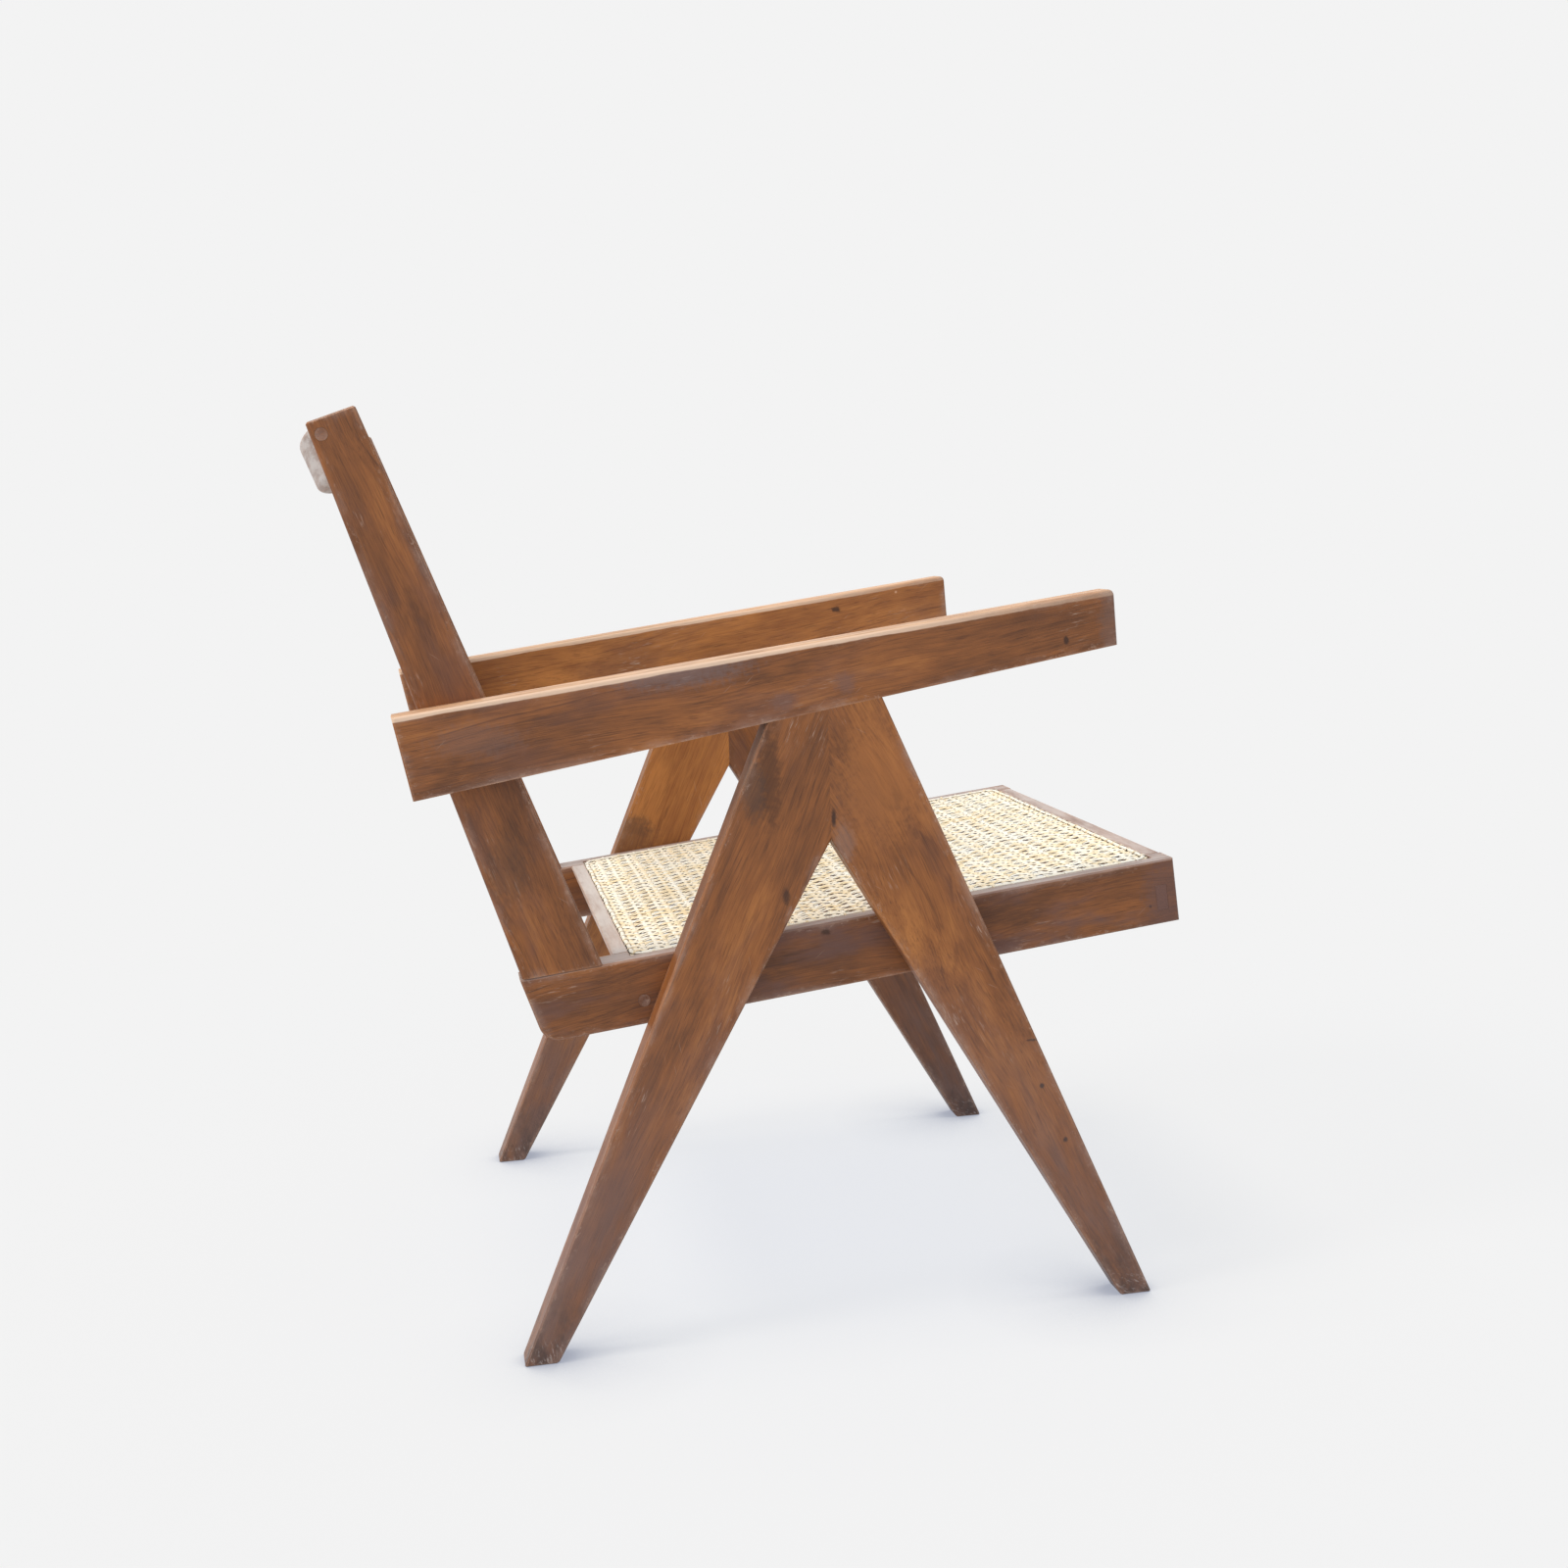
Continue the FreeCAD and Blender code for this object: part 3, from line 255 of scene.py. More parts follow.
def teak_board(name, turn, centre, pith, ring=0.0042, figure=0.03, lean=0.05, tone=0.0, purple=0.4,
               marks=(), quiet=(), rubbed=0.5, top=(GREY_WEAR_AND_SHEEN, 0.3), silvered=0.0, feet=False, handrest=False):
    """Oiled teak for one board: its grain turned with it, grey patches, pores, rubbed edges and marks.

    Turn and centre give the board's own directions, and pith is the middle of its rings in them.
    Quiet places are joints whose edges aren't rubbed. Top is the colour and strength of upward faces' wear
    and dust, which also paints a sheen of light from above.
    Silvered is how far light and dust have bleached the board; its grey is partly a painted sheen of light.
    A handrest's upper edges are painted pale, as wear and as a highlight of the light from above.
    """
    material = bpy.data.materials.new(name)
    material.use_nodes = True
    tree = material.node_tree
    skin = tree.nodes["Principled BSDF"]
    spot = tree.nodes.new("ShaderNodeTexCoord").outputs
    board = tree.nodes.new("ShaderNodeMapping")
    board.vector_type = "TEXTURE"
    board.inputs["Location"].default_value = centre
    board.inputs["Rotation"].default_value = [math.radians(angle) for angle in turn]
    plug(tree, board.inputs["Vector"], spot["Object"])
    grain = use_group(tree, grain_group, Board=board.outputs[0], Pith=pith, Ring=ring,
                      Figure=figure, Lean=lean)
    shades = tree.nodes.new("ShaderNodeValToRGB")
    for count, (place, shade) in enumerate(TEAK):
        stop = shades.color_ramp.elements[count] if count < 2 else shades.color_ramp.elements.new(place)
        stop.position = place
        stop.color = shade
    plug(tree, shades.inputs[0], calc(tree, "ADD", grain["Tone"], tone))
    colour = mixed(tree, calc(tree, "MULTIPLY", grain["Pore"], 0.45), shades.outputs[0], TEAK_PORE)
    colour = mixed(tree, calc(tree, "MULTIPLY", grain["Patch"], purple), colour, TEAK_PURPLE)
    dust = patches(tree, board.outputs[0], (20, 13, 20), 4.0, 0.65, 0.54, 0.68, 0.0, 0.7)
    fleck = patches(tree, board.outputs[0], (760, 70, 760), 2.0, 0.6, 0.56, 0.7)
    colour = mixed(tree, calc(tree, "MULTIPLY", dust, fleck), colour, PORE_DUST)
    across_grain = tree.nodes.new("ShaderNodeMapping")
    across_grain.inputs["Rotation"].default_value = (SCRATCH_TURN, 0.0, 0.0)
    plug(tree, across_grain.inputs["Vector"], board.outputs[0])
    scratch = patches(tree, across_grain.outputs[0], (900, 26, 900), 1.0, 0.5, 0.78, 0.84, 0.0, 0.4)
    colour = mixed(tree, scratch, colour, PORE_DUST)
    if silvered:
        # Silvering: bleaching by light and dust, and partly a painted sheen of light
        bleach_and_sheen = patches(tree, board.outputs[0], (110, 6, 110), 4.0, 0.65, 0.34, 0.62, 0.45, 1.0)
        bleach_and_sheen = calc(tree, "SUBTRACT", bleach_and_sheen, calc(tree, "MULTIPLY", grain["Pore"], 0.3))
        colour = mixed(tree, calc(tree, "MULTIPLY", bleach_and_sheen, silvered), colour, SILVER_AND_SHEEN)
    for place, size, shade, strength in marks:
        mark = use_group(tree, mark_group, Place=spot["Object"], Centre=place, Size=size)
        colour = mixed(tree, calc(tree, "MULTIPLY", mark["Mark"], strength), colour, shade)
    if feet:
        level = tree.nodes.new("ShaderNodeSeparateXYZ")
        plug(tree, level.inputs[0], spot["Object"])
        dusty = patches(tree, board.outputs[0], (34, 9, 34), 4.0, 0.6, 0.3, 0.6, 0.45, 1.0)
        low = calc(tree, "MULTIPLY", smooth_step(tree, level.outputs["Z"], *DUST_HEIGHTS), dusty)
        colour = mixed(tree, calc(tree, "MULTIPLY", low, 0.8), colour, FLOOR_GREY)
        grime = patches(tree, spot["Object"], (70, 70, 40), 4.0, 0.65, 0.36, 0.66, 0.25, 0.85)
        sole = smooth_step(tree, level.outputs["Z"], *DIRT_HEIGHTS)
        colour = mixed(tree, calc(tree, "MULTIPLY", sole, grime), colour, DIRT)
        scuff = patches(tree, across_grain.outputs[0], (520, 150, 520), 3.0, 0.65, 0.54, 0.68)
        near_floor = smooth_step(tree, level.outputs["Z"], *SCUFF_HEIGHTS, 0.0, 0.42)
        scuff = calc(tree, "MULTIPLY", scuff, near_floor)
        colour = mixed(tree, scuff, colour, GREY_WEAR_AND_SHEEN)
    facing = tree.nodes.new("ShaderNodeSeparateXYZ")
    plug(tree, facing.inputs[0], spot["Normal"])
    # Upward faces turn grey: dust and wear, together with a painted sheen of the light from above
    uneven = patches(tree, board.outputs[0], (90, 14, 90), 4.0, 0.65, 0.3, 0.62, 0.4, 1.0)
    upward = calc(tree, "MULTIPLY", smooth_step(tree, facing.outputs["Z"], 0.55, 0.95), uneven)
    colour = mixed(tree, calc(tree, "MULTIPLY", upward, top[1]), colour, top[0])
    wide_edge = use_group(tree, edge_group, Place=spot["Object"], Reach=WIDE_WEAR)["Edge"]
    edge = use_group(tree, edge_group, Place=spot["Object"], Reach=NARROW_WEAR)["Edge"]
    for place, size in quiet:
        calm = use_group(tree, mark_group, Place=spot["Object"], Centre=place, Size=size)["Mark"]
        rest = calc(tree, "SUBTRACT", 1.0, calm)
        edge = calc(tree, "MULTIPLY", edge, rest)
        wide_edge = calc(tree, "MULTIPLY", wide_edge, rest)
    handled = patches(tree, board.outputs[0], (46, 17, 46), 4.0, 0.65, 0.42, 0.6, 0.0, 0.85)
    colour = mixed(tree, calc(tree, "MULTIPLY", wide_edge, handled), colour, WORN_GREY)
    chipped = patches(tree, board.outputs[0], (420, 190, 420), 2.0, 0.6, 0.58, 0.68, 0.0, 0.75)
    colour = mixed(tree, calc(tree, "MULTIPLY", wide_edge, chipped), colour, PORE_DUST)
    colour = mixed(tree, calc(tree, "MULTIPLY", edge, rubbed), colour, RUBBED)
    # A handrest's pale strip below its top: wear, and a painted highlight where a worn bevel would catch
    # light from above
    if handrest:
        height = vector_calc(tree, "DOT_PRODUCT", spot["Object"], (0.0, ARM_TOP_FALL, 1.0))
        waver = calc(tree, "MULTIPLY", calc(tree, "SUBTRACT", uneven, 0.7), STRIP_WAVER)
        height = calc(tree, "ADD", height, waver)
        strip_start, strip_full = (ARM_TOP_LEVEL - depth for depth in STRIP_DEPTHS)
        strip = smooth_step(tree, height, strip_start, strip_full)
        strip = calc(tree, "MULTIPLY", strip, smooth_step(tree, facing.outputs["Z"], 0.9, 0.6, 0.0, 0.9))
        length = tree.nodes.new("ShaderNodeSeparateXYZ")
        plug(tree, length.inputs[0], spot["Object"])
        front_fade = smooth_step(tree, length.outputs["Y"], *STRIP_FADE, 0.3, 1.0)
        strip = calc(tree, "MULTIPLY", strip, front_fade)
        colour = mixed(tree, strip, colour, HAND_WEAR_AND_HIGHLIGHT)
    plug(tree, skin.inputs["Base Color"], colour)
    matt = calc(tree, "MULTIPLY", grain["Patch"], 0.16)
    plug(tree, skin.inputs["Roughness"], calc(tree, "ADD", 0.46, matt))
    skin.inputs["Specular IOR Level"].default_value = 0.32
    bump = tree.nodes.new("ShaderNodeBump")
    bump.inputs["Strength"].default_value = 0.35
    bump.inputs["Distance"].default_value = 0.0006
    plug(tree, bump.inputs["Height"], grain["Height"])
    plug(tree, skin.inputs["Normal"], bump.outputs[0])
    return material


def dress(node, material):
    """Puts one material on a CAD node in place of its plain one."""
    nodes[node].data.materials.clear()
    nodes[node].data.materials.append(material)


FILLER = paint(120, 86, 74)
KNOT = paint(60, 36, 24)
CRACK = paint(44, 30, 26)
STAIN = paint(82, 60, 48)
SEAM_GREY = paint(140, 110, 96)
WARM_TEAK = paint(178, 112, 58)
# How far from the chair's middle the outer and inner faces of legs and arms are, and half-way through them
OUTER_FACE = 0.260
INNER_FACE = 0.234
SIDE_MIDDLE = 0.247
rear_leg_marks = (
    ((-OUTER_FACE, 0.004, 0.480), (0.02, 0.012, 0.055), KNOT, 0.6),
    ((-OUTER_FACE, -0.007, 0.378), (0.02, 0.004, 0.009), CRACK, 0.7),
    ((-OUTER_FACE, 0.017, 0.470), (0.02, 0.014, 0.034), STAIN, 0.6),
)
far_leg_marks = (
    ((INNER_FACE, 0.066, 0.350), (0.02, 0.040, 0.030), STAIN, 0.45),
    ((INNER_FACE, 0.058, 0.362), (0.02, 0.020, 0.016), STAIN, 0.3),
)
front_leg_marks = (
    ((-OUTER_FACE, -0.224, 0.1975), (0.01, 0.003, 0.003), CRACK, 0.9),
    ((-OUTER_FACE, -0.2445, 0.1474), (0.01, 0.003, 0.003), CRACK, 0.9),
    ((-OUTER_FACE, -0.2173, 0.2387), (0.01, 0.008, 0.0015), CRACK, 0.8),
    ((-OUTER_FACE, -0.0485, 0.441), (0.02, 0.003, 0.010), CRACK, 0.85),
    ((-OUTER_FACE, -0.057, 0.420), (0.02, 0.012, 0.024), SEAM_GREY, 0.5),
    ((-OUTER_FACE, -0.090, 0.470), (0.02, 0.050, 0.070), WARM_TEAK, 0.45),
)


def leg_seams(side):
    """The seam of one side's legs and their shoulder under the arm: side -1 is the right, 1 the left."""
    return (
        ((side * SIDE_MIDDLE, -0.046, 0.480), (0.06, 0.016, 0.17)),
        ((side * SIDE_MIDDLE, -0.045, 0.531), (0.06, 0.17, 0.03)),
    )


dress("right_rear_leg", teak_board(
    "teak_right_rear_leg", turn=(-64.5, 0, 0), centre=(-SIDE_MIDDLE, 0.07, 0.27), pith=(0.045, 0.1, 0.02),
    tone=0.04, purple=0.3, marks=rear_leg_marks, quiet=leg_seams(-1), feet=True,
))
dress("right_front_leg", teak_board(
    "teak_right_front_leg", turn=(64.5, 0, 0), centre=(-SIDE_MIDDLE, -0.18, 0.27),
    pith=(0.024, 0.22, -0.012), ring=0.0036, figure=0.05, lean=0.11, tone=0.07, purple=0.25,
    marks=front_leg_marks, quiet=leg_seams(-1), feet=True,
))
dress("left_rear_leg", teak_board(
    "teak_left_rear_leg", turn=(-64.5, 0, 0), centre=(SIDE_MIDDLE, 0.09, 0.31), pith=(-0.05, 0.3, 0.03),
    tone=0.3, purple=0.1, marks=far_leg_marks, quiet=leg_seams(1), feet=True,
))
dress("left_front_leg", teak_board(
    "teak_left_front_leg", turn=(64.5, 0, 0), centre=(SIDE_MIDDLE, -0.16, 0.25), pith=(0.04, -0.2, -0.02),
    tone=0.02, quiet=leg_seams(1), feet=True,
))

# Armrests: two teak planks set on edge, deeper at the rear, tenoned onto the legs and screwed to the posts.
# Hands have rubbed their tops pale, and the pale tops and strips also paint the light from above on them;
# on the near one two old holes above the legs are filled.
# Pale armrest tops: hand wear together with a painted highlight of the light from above
ARM_TOP = paint(216, 176, 140)
ARM_END = paint(112, 84, 72)
arm_marks = (
    ((-OUTER_FACE, -0.0102, 0.5381), (0.02, 0.014, 0.012), FILLER, 0.6),
    ((-OUTER_FACE, -0.0608, 0.5506), (0.02, 0.011, 0.012), FILLER, 0.6),
    ((-OUTER_FACE, -0.2497, 0.5771), (0.02, 0.003, 0.005), KNOT, 0.9),
    ((-OUTER_FACE, 0.235, 0.520), (0.02, 0.05, 0.018), FLOOR_GREY, 0.3),
    ((-OUTER_FACE, 0.085, 0.568), (0.02, 0.085, 0.020), FLOOR_GREY, 0.75),
    ((-OUTER_FACE, -0.290, 0.590), (0.02, 0.015, 0.060), ARM_END, 0.6),
)
dress("right_armrest", teak_board(
    "teak_right_armrest", turn=(-8.4, 0, 0), centre=(-SIDE_MIDDLE, 0.0, 0.55), pith=(0.045, 0.2, -0.05),
    marks=arm_marks, top=(ARM_TOP, 0.95), handrest=True,
))
far_arm_marks = (
    ((INNER_FACE, -0.1693, 0.5857), (0.02, 0.006, 0.004), KNOT, 0.9),
    ((INNER_FACE, -0.2368, 0.6021), (0.02, 0.002, 0.002), RUBBED, 0.9),
)
dress("left_armrest", teak_board(
    "teak_left_armrest", turn=(-8.4, 0, 0), centre=(SIDE_MIDDLE, 0.05, 0.57), pith=(-0.05, -0.2, 0.03),
    tone=0.24, purple=0.3, marks=far_arm_marks, top=(ARM_TOP, 0.95),
    handrest=True,
))

# Seat side rails: two deep teak rails that carry the cane, screwed to the legs and jointed to the posts.
# Darker than the legs, the near one more purple and with a swirl of figure near the front.
# Both start at the inner face of the legs.
FRAME_MIDDLE = 0.219
rail_marks = (
    ((-INNER_FACE, -0.045, 0.3402), (0.02, 0.006, 0.004), KNOT, 0.8),
    ((-INNER_FACE, -0.3341, 0.3404), (0.02, 0.002, 0.002), CRACK, 0.9),
    ((-INNER_FACE, -0.350, 0.350), (0.02, 0.03, 0.05), TEAK_PURPLE, 0.6),
)
rail_joints = (
    ((-INNER_FACE, -0.345, 0.352), (0.02, 0.04, 0.06)),
    ((-INNER_FACE, 0.110, 0.2944), (0.02, 0.018, 0.018)),
)
dress("right_seat_side_rail", teak_board(
    "teak_right_seat_rail", turn=(-6.3, 0, 0), centre=(-FRAME_MIDDLE, -0.2, 0.33),
    pith=(0.014, 0.02, -0.02), figure=0.05, lean=0.1, tone=-0.1, purple=0.9, marks=rail_marks,
    quiet=rail_joints, top=(GREY_WEAR_AND_SHEEN, 0.85),
))
dress("left_seat_side_rail", teak_board(
    "teak_left_seat_rail", turn=(-6.3, 0, 0), centre=(FRAME_MIDDLE, -0.1, 0.33), pith=(0.03, 0.1, 0.04),
    tone=-0.02, purple=0.5, top=(GREY_WEAR_AND_SHEEN, 0.85),
))

# Back posts: two teak posts that lean back from the side rails to the crest, tapered towards the top.
# Swirling figure in the lower half of the near one; a peg through the crest rail's tenon shows at the top.
post_joints = (((-INNER_FACE, 0.3376, 0.7585), (0.02, 0.018, 0.018)),)
post_marks = (
    ((-INNER_FACE, 0.216, 0.412), (0.02, 0.024, 0.040), STAIN, 0.35),
)
dress("right_back_post", teak_board(
    "teak_right_back_post", turn=(71.2, 0, 0), centre=(-FRAME_MIDDLE, 0.22, 0.43), pith=(0.018, 0.0, 0.015),
    figure=0.05, lean=0.1, tone=-0.03, marks=post_marks, quiet=post_joints,
    top=(GREY_WEAR_AND_SHEEN, 0.6),
))
dress("left_back_post", teak_board(
    "teak_left_back_post", turn=(71.2, 0, 0), centre=(FRAME_MIDDLE, 0.25, 0.53), pith=(0.04, 0.1, 0.03),
    tone=0.04, top=(GREY_WEAR_AND_SHEEN, 0.6),
))

# Cross rails: the front and rear rails of the seat, and the bowed crest and lower rails of the back.
# Teak with the grain running from side to side, greyed where dust and hands reach them;
# the grey on their upper faces is also a painted sheen of the light from above.
FRONT_ENDS = ((-INNER_FACE, -0.345, 0.352), (INNER_FACE, -0.345, 0.352))
front_joints = [(place, (0.02, 0.04, 0.06)) for place in FRONT_ENDS]
front_marks = [(place, (0.006, 0.04, 0.06), TEAK_PURPLE, 0.9) for place in FRONT_ENDS]
dress("front_seat_rail", teak_board(
    "teak_front_rail", turn=(0, 6.3, 90), centre=(0.0, -0.34, 0.35), pith=(0.04, 0.1, 0.03),
    marks=front_marks, quiet=front_joints, top=(GREY_WEAR_AND_SHEEN, 0.9),
))
# Rear rail: silvered and grey on top, partly bleaching and dust, partly a painted sheen of light from
# behind and above
dress("rear_seat_rail", teak_board(
    "teak_rear_rail", turn=(0, 6.3, 90), centre=(0.1, 0.11, 0.30), pith=(0.04, -0.1, 0.03),
    silvered=0.85, top=(SILVER_AND_SHEEN, 0.9),
))
# Crest rail: silvered, partly by weathering and partly as a painted sheen of light on its back
dress("crest_rail", teak_board(
    "teak_crest_rail", turn=(0, 20.4, 90), centre=(-0.1, 0.33, 0.74), pith=(0.05, 0.1, 0.02),
    silvered=0.8, top=(GREY_WEAR_AND_SHEEN, 0.7),
))
dress("lower_back_rail", teak_board(
    "teak_lower_back_rail", turn=(0, 20.4, 90), centre=(0.05, 0.23, 0.45), pith=(0.05, -0.1, 0.02),
    top=(GREY_WEAR_AND_SHEEN, 0.8),
))

# Pegs and loose tenons: turned and planed teak that locks the joints.
# Their rings are finer than the boards', so that the ends that show stand out as small rounds.
peg_teak = teak_board(
    "teak_pegs", turn=(0, 0, 90), centre=(0, 0, 0), pith=(0.01, 0, 0.005),
    ring=0.002, tone=-0.05, purple=0.6, rubbed=0.1,
)
for node in ("crest_rail_pegs", "rear_rail_pegs", "arm_to_leg_tenons", "leg_seam_splines"):
    dress(node, peg_teak)

# Screws: steel countersunk screws that hold the legs to the rails and the arms to the posts.
# They are driven from inside and dull with age, with rough brown rust in patches.
screw_steel = bpy.data.materials.new("aged_screw_steel")
screw_steel.use_nodes = True
steel_tree = screw_steel.node_tree
steel_skin = steel_tree.nodes["Principled BSDF"]
steel_spot = steel_tree.nodes.new("ShaderNodeTexCoord")
rust = patches(steel_tree, steel_spot.outputs["Object"], (400, 400, 400), 3.0, 0.5, 0.4, 0.6)
STEEL = paint(150, 146, 140)
RUST = paint(96, 70, 54)
plug(steel_tree, steel_skin.inputs["Base Color"], mixed(steel_tree, rust, STEEL, RUST))
rusted = calc(steel_tree, "MULTIPLY", rust, 0.6)
plug(steel_tree, steel_skin.inputs["Metallic"], calc(steel_tree, "SUBTRACT", 1.0, rusted))
rough_rust = calc(steel_tree, "MULTIPLY", rust, 0.3)
plug(steel_tree, steel_skin.inputs["Roughness"], calc(steel_tree, "ADD", 0.35, rough_rust))
for node in ("leg_to_rail_screws", "arm_to_post_screws"):
    dress(node, screw_steel)


# Seat cane: split cane woven six ways by hand: pairs along and across, locked by two diagonals.
# One diagonal goes under the pairs that run along and over those across, the other the opposite way,
# and an eight-sided hole stays open in the middle of each square of pairs.
CANE_WIDTH = 0.0036
CANE_THICKNESS = 0.0010
CANE_SWING = 0.0006
ALONG_SPREAD = 0.32
ACROSS_SPREAD = 0.40
DIAGONAL_SWING = 1.2


def interlock(place, spread):
    """Over and under along a strand, by the count of pairs: +1 at half a pair's spread, -1 at minus that.

    Between these it swings as a sine inside the pair and as a wider sine from one pair to the next.
    """
    local = (place + 0.5) % 1.0 - 0.5
    inside = np.sin(np.pi * local / spread)
    outside = np.sign(local) * np.cos(np.pi * (np.abs(local) - spread / 2) / (1 - spread))
    return np.where(np.abs(local) <= spread / 2, inside, outside)


def weave_paths(cells_across, cells_along, samples=7):
    """The strands' middle lines in pair counts and lift: along and across in pairs, then the two diagonals.

    A strand of a pair lies half the spread to one side of a whole count and swings over one and under the
    other strand of each pair it meets. A diagonal passes half-way between the counts, down at each pair
    along and up at each pair across, as a cosine; the other diagonal does the opposite.
    """
    sides = (-1.0, 1.0)
    run_along = np.linspace(-0.5, cells_along - 0.5, cells_along * samples + 1)
    run_across = np.linspace(-0.5, cells_across - 0.5, cells_across * samples + 1)
    swing_along = interlock(run_along, ACROSS_SPREAD)
    swing_across = interlock(run_across, ALONG_SPREAD)
    along = [(np.full_like(run_along, count + side * ALONG_SPREAD / 2), run_along, -side * swing_along)
             for count in range(cells_across) for side in sides]
    across = [(run_across, np.full_like(run_across, count + side * ACROSS_SPREAD / 2), side * swing_across)
              for count in range(cells_along) for side in sides]
    rising = []
    for offset in np.arange(0.5 - cells_along, cells_across):
        start = max(-0.5, offset - 0.5)
        end = min(cells_across, offset + cells_along) - 0.5
        run = np.linspace(start, end, max(2, int((end - start) * samples) + 1))
        rising.append((run, run - offset, -DIAGONAL_SWING * np.cos(2 * np.pi * run)))
    falling = []
    for total in np.arange(-0.5, cells_across + cells_along - 1):
        start = max(0, total - cells_along + 1) - 0.5
        end = min(cells_across - 1, total) + 0.5
        run = np.linspace(start, end, max(2, int((end - start) * samples) + 1))
        falling.append((run, total - run, DIAGONAL_SWING * np.cos(2 * np.pi * run)))
    return {"along": along, "across": across, "rising": rising, "falling": falling}


STRAND_CORNERS = ((-1, -0.8), (-1, 0.4), (-0.6, 1), (0.6, 1), (1, 0.4), (1, -0.8), (0.6, -1), (-0.6, -1))
# How dark each corner of a strand's section turns: the sides darken downwards, as dull cane and as painted
# shade
STRAND_DULL_AND_SHADE = (1.0, 0.2, 0.0, 0.0, 0.2, 1.0, 0.4, 0.4)


def strand_skin(middle, outward, width, thickness):
    """A flat strand: each point of its middle line moved sideways and outward by the section's corners."""
    section = np.array(STRAND_CORNERS)
    heading = np.gradient(middle, axis=0)
    sideways = np.cross(heading, outward)
    sideways /= np.linalg.norm(sideways, axis=1, keepdims=True)
    aside = sideways[:, None] * section[None, :, :1] * width / 2
    return middle[:, None] + aside + outward[:, None] * section[None, :, 1:] * thickness / 2


def tube_faces(rings, corners):
    """Quads between each ring of corners and the next, and a face over each end, all turned outward."""
    ring = np.arange(rings - 1)[:, None] * corners
    corner = np.arange(corners)[None, :]
    after = (corner + 1) % corners
    following = ring + corners
    quads = np.stack((ring + corner, following + corner, following + after, ring + after), axis=-1)
    start = np.arange(corners)[None, :]
    end = (rings - 1) * corners + np.arange(corners)[None, ::-1]
    return quads.reshape(-1, 4), np.concatenate((start, end))


def strands_object(name, skins, tones):
    """One mesh of many strands; point attributes keep each strand's own tone and its sides' dullness and
    painted shade.
    """
    quads = []
    ends = []
    first = 0
    for skin in skins:
        strand_quads, strand_ends = tube_faces(skin.shape[0], skin.shape[1])
        quads.append(strand_quads + first)
        ends.append(strand_ends + first)
        first += skin.shape[0] * skin.shape[1]
    points = np.concatenate([skin.reshape(-1, 3) for skin in skins])
    mesh = bpy.data.meshes.new(name)
    mesh.from_pydata(points, [], np.concatenate(quads).tolist() + np.concatenate(ends).tolist())
    mesh.polygons.foreach_set("use_smooth", np.ones(len(mesh.polygons), dtype=bool))
    tone = mesh.attributes.new("tone", "FLOAT", "POINT")
    tone.data.foreach_set("value", np.concatenate([np.full(skin.shape[0] * skin.shape[1], value)
                                                   for skin, value in zip(skins, tones)]))
    dull_and_shaded = mesh.attributes.new("dull_and_shaded", "FLOAT", "POINT")
    dull_and_shaded.data.foreach_set("value", np.tile(STRAND_DULL_AND_SHADE, len(points) // len(STRAND_DULL_AND_SHADE)))
    piece = bpy.data.objects.new(name, mesh)
    bpy.context.scene.collection.objects.link(piece)
    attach(piece, "root")
    return piece


def cane_material(name, pale, honey, dust):
    """Split cane: pale skin with honey-coloured strands among it, and fine lines.

    Old dust and painted shade darken the strands' sides and where other strands shelter them.
    """
    material = bpy.data.materials.new(name)
    material.use_nodes = True
    tree = material.node_tree
    skin = tree.nodes["Principled BSDF"]
    spot = tree.nodes.new("ShaderNodeTexCoord")
    own = tree.nodes.new("ShaderNodeAttribute")
    own.attribute_name = "tone"
    blotch = cloud(tree, spot.outputs["Object"], (38, 38, 38), 3.0, 0.6)
    fine = cloud(tree, spot.outputs["Object"], (420, 420, 420), 2.0, 0.6)
    share = calc(tree, "MULTIPLY", own.outputs["Fac"], 0.55)
    share = calc(tree, "ADD", share, calc(tree, "MULTIPLY", blotch, 0.75))
    share = calc(tree, "ADD", share, calc(tree, "MULTIPLY", fine, 0.25))
    colour = mixed(tree, smooth_step(tree, share, 0.45, 1.15), pale, honey)
    side = tree.nodes.new("ShaderNodeAttribute")
    side.attribute_name = "dull_and_shaded"
    colour = mixed(tree, smooth_step(tree, side.outputs["Fac"], 0.2, 0.8, 0.0, 0.95), colour, dust)
    # Painted shade with dust: darker where nearby strands shelter a point
    shelter_shade = tree.nodes.new("ShaderNodeAmbientOcclusion")
    shelter_shade.samples = 4
    shelter_shade.inputs["Distance"].default_value = 0.004
    colour = mixed(tree, smooth_step(tree, shelter_shade.outputs["AO"], 0.56, 0.24, 0.0, 0.8), colour, dust)
    plug(tree, skin.inputs["Base Color"], colour)
    plug(tree, skin.inputs["Roughness"], smooth_step(tree, blotch, 0.3, 0.7, 0.24, 0.4))
    bump = tree.nodes.new("ShaderNodeBump")
    bump.inputs["Strength"].default_value = 0.2
    bump.inputs["Distance"].default_value = 0.0003
    plug(tree, bump.inputs["Height"], fine)
    plug(tree, skin.inputs["Normal"], bump.outputs[0])
    return material


CANE_PALE = paint(252, 248, 234)
CANE_HONEY = paint(244, 223, 180)
# Dark brown of the seat strands' sides and sheltered places: dust and painted shade
SEAT_DUST_AND_SHADE = paint(82, 54, 28)
seat_split_cane = cane_material("seat_split_cane", CANE_PALE, CANE_HONEY, SEAT_DUST_AND_SHADE)
SEAT_SLOPE = math.radians(6.3)
SEAT_HALF = 0.2185
SEAT_FRONT = 0.0155
SEAT_BACK = 0.4755
SEAT_CELLS = (30, 24)
SEAT_EDGE_Y = -0.355
SEAT_EDGE_Z = 0.382
SEAT_SINK = 0.0015


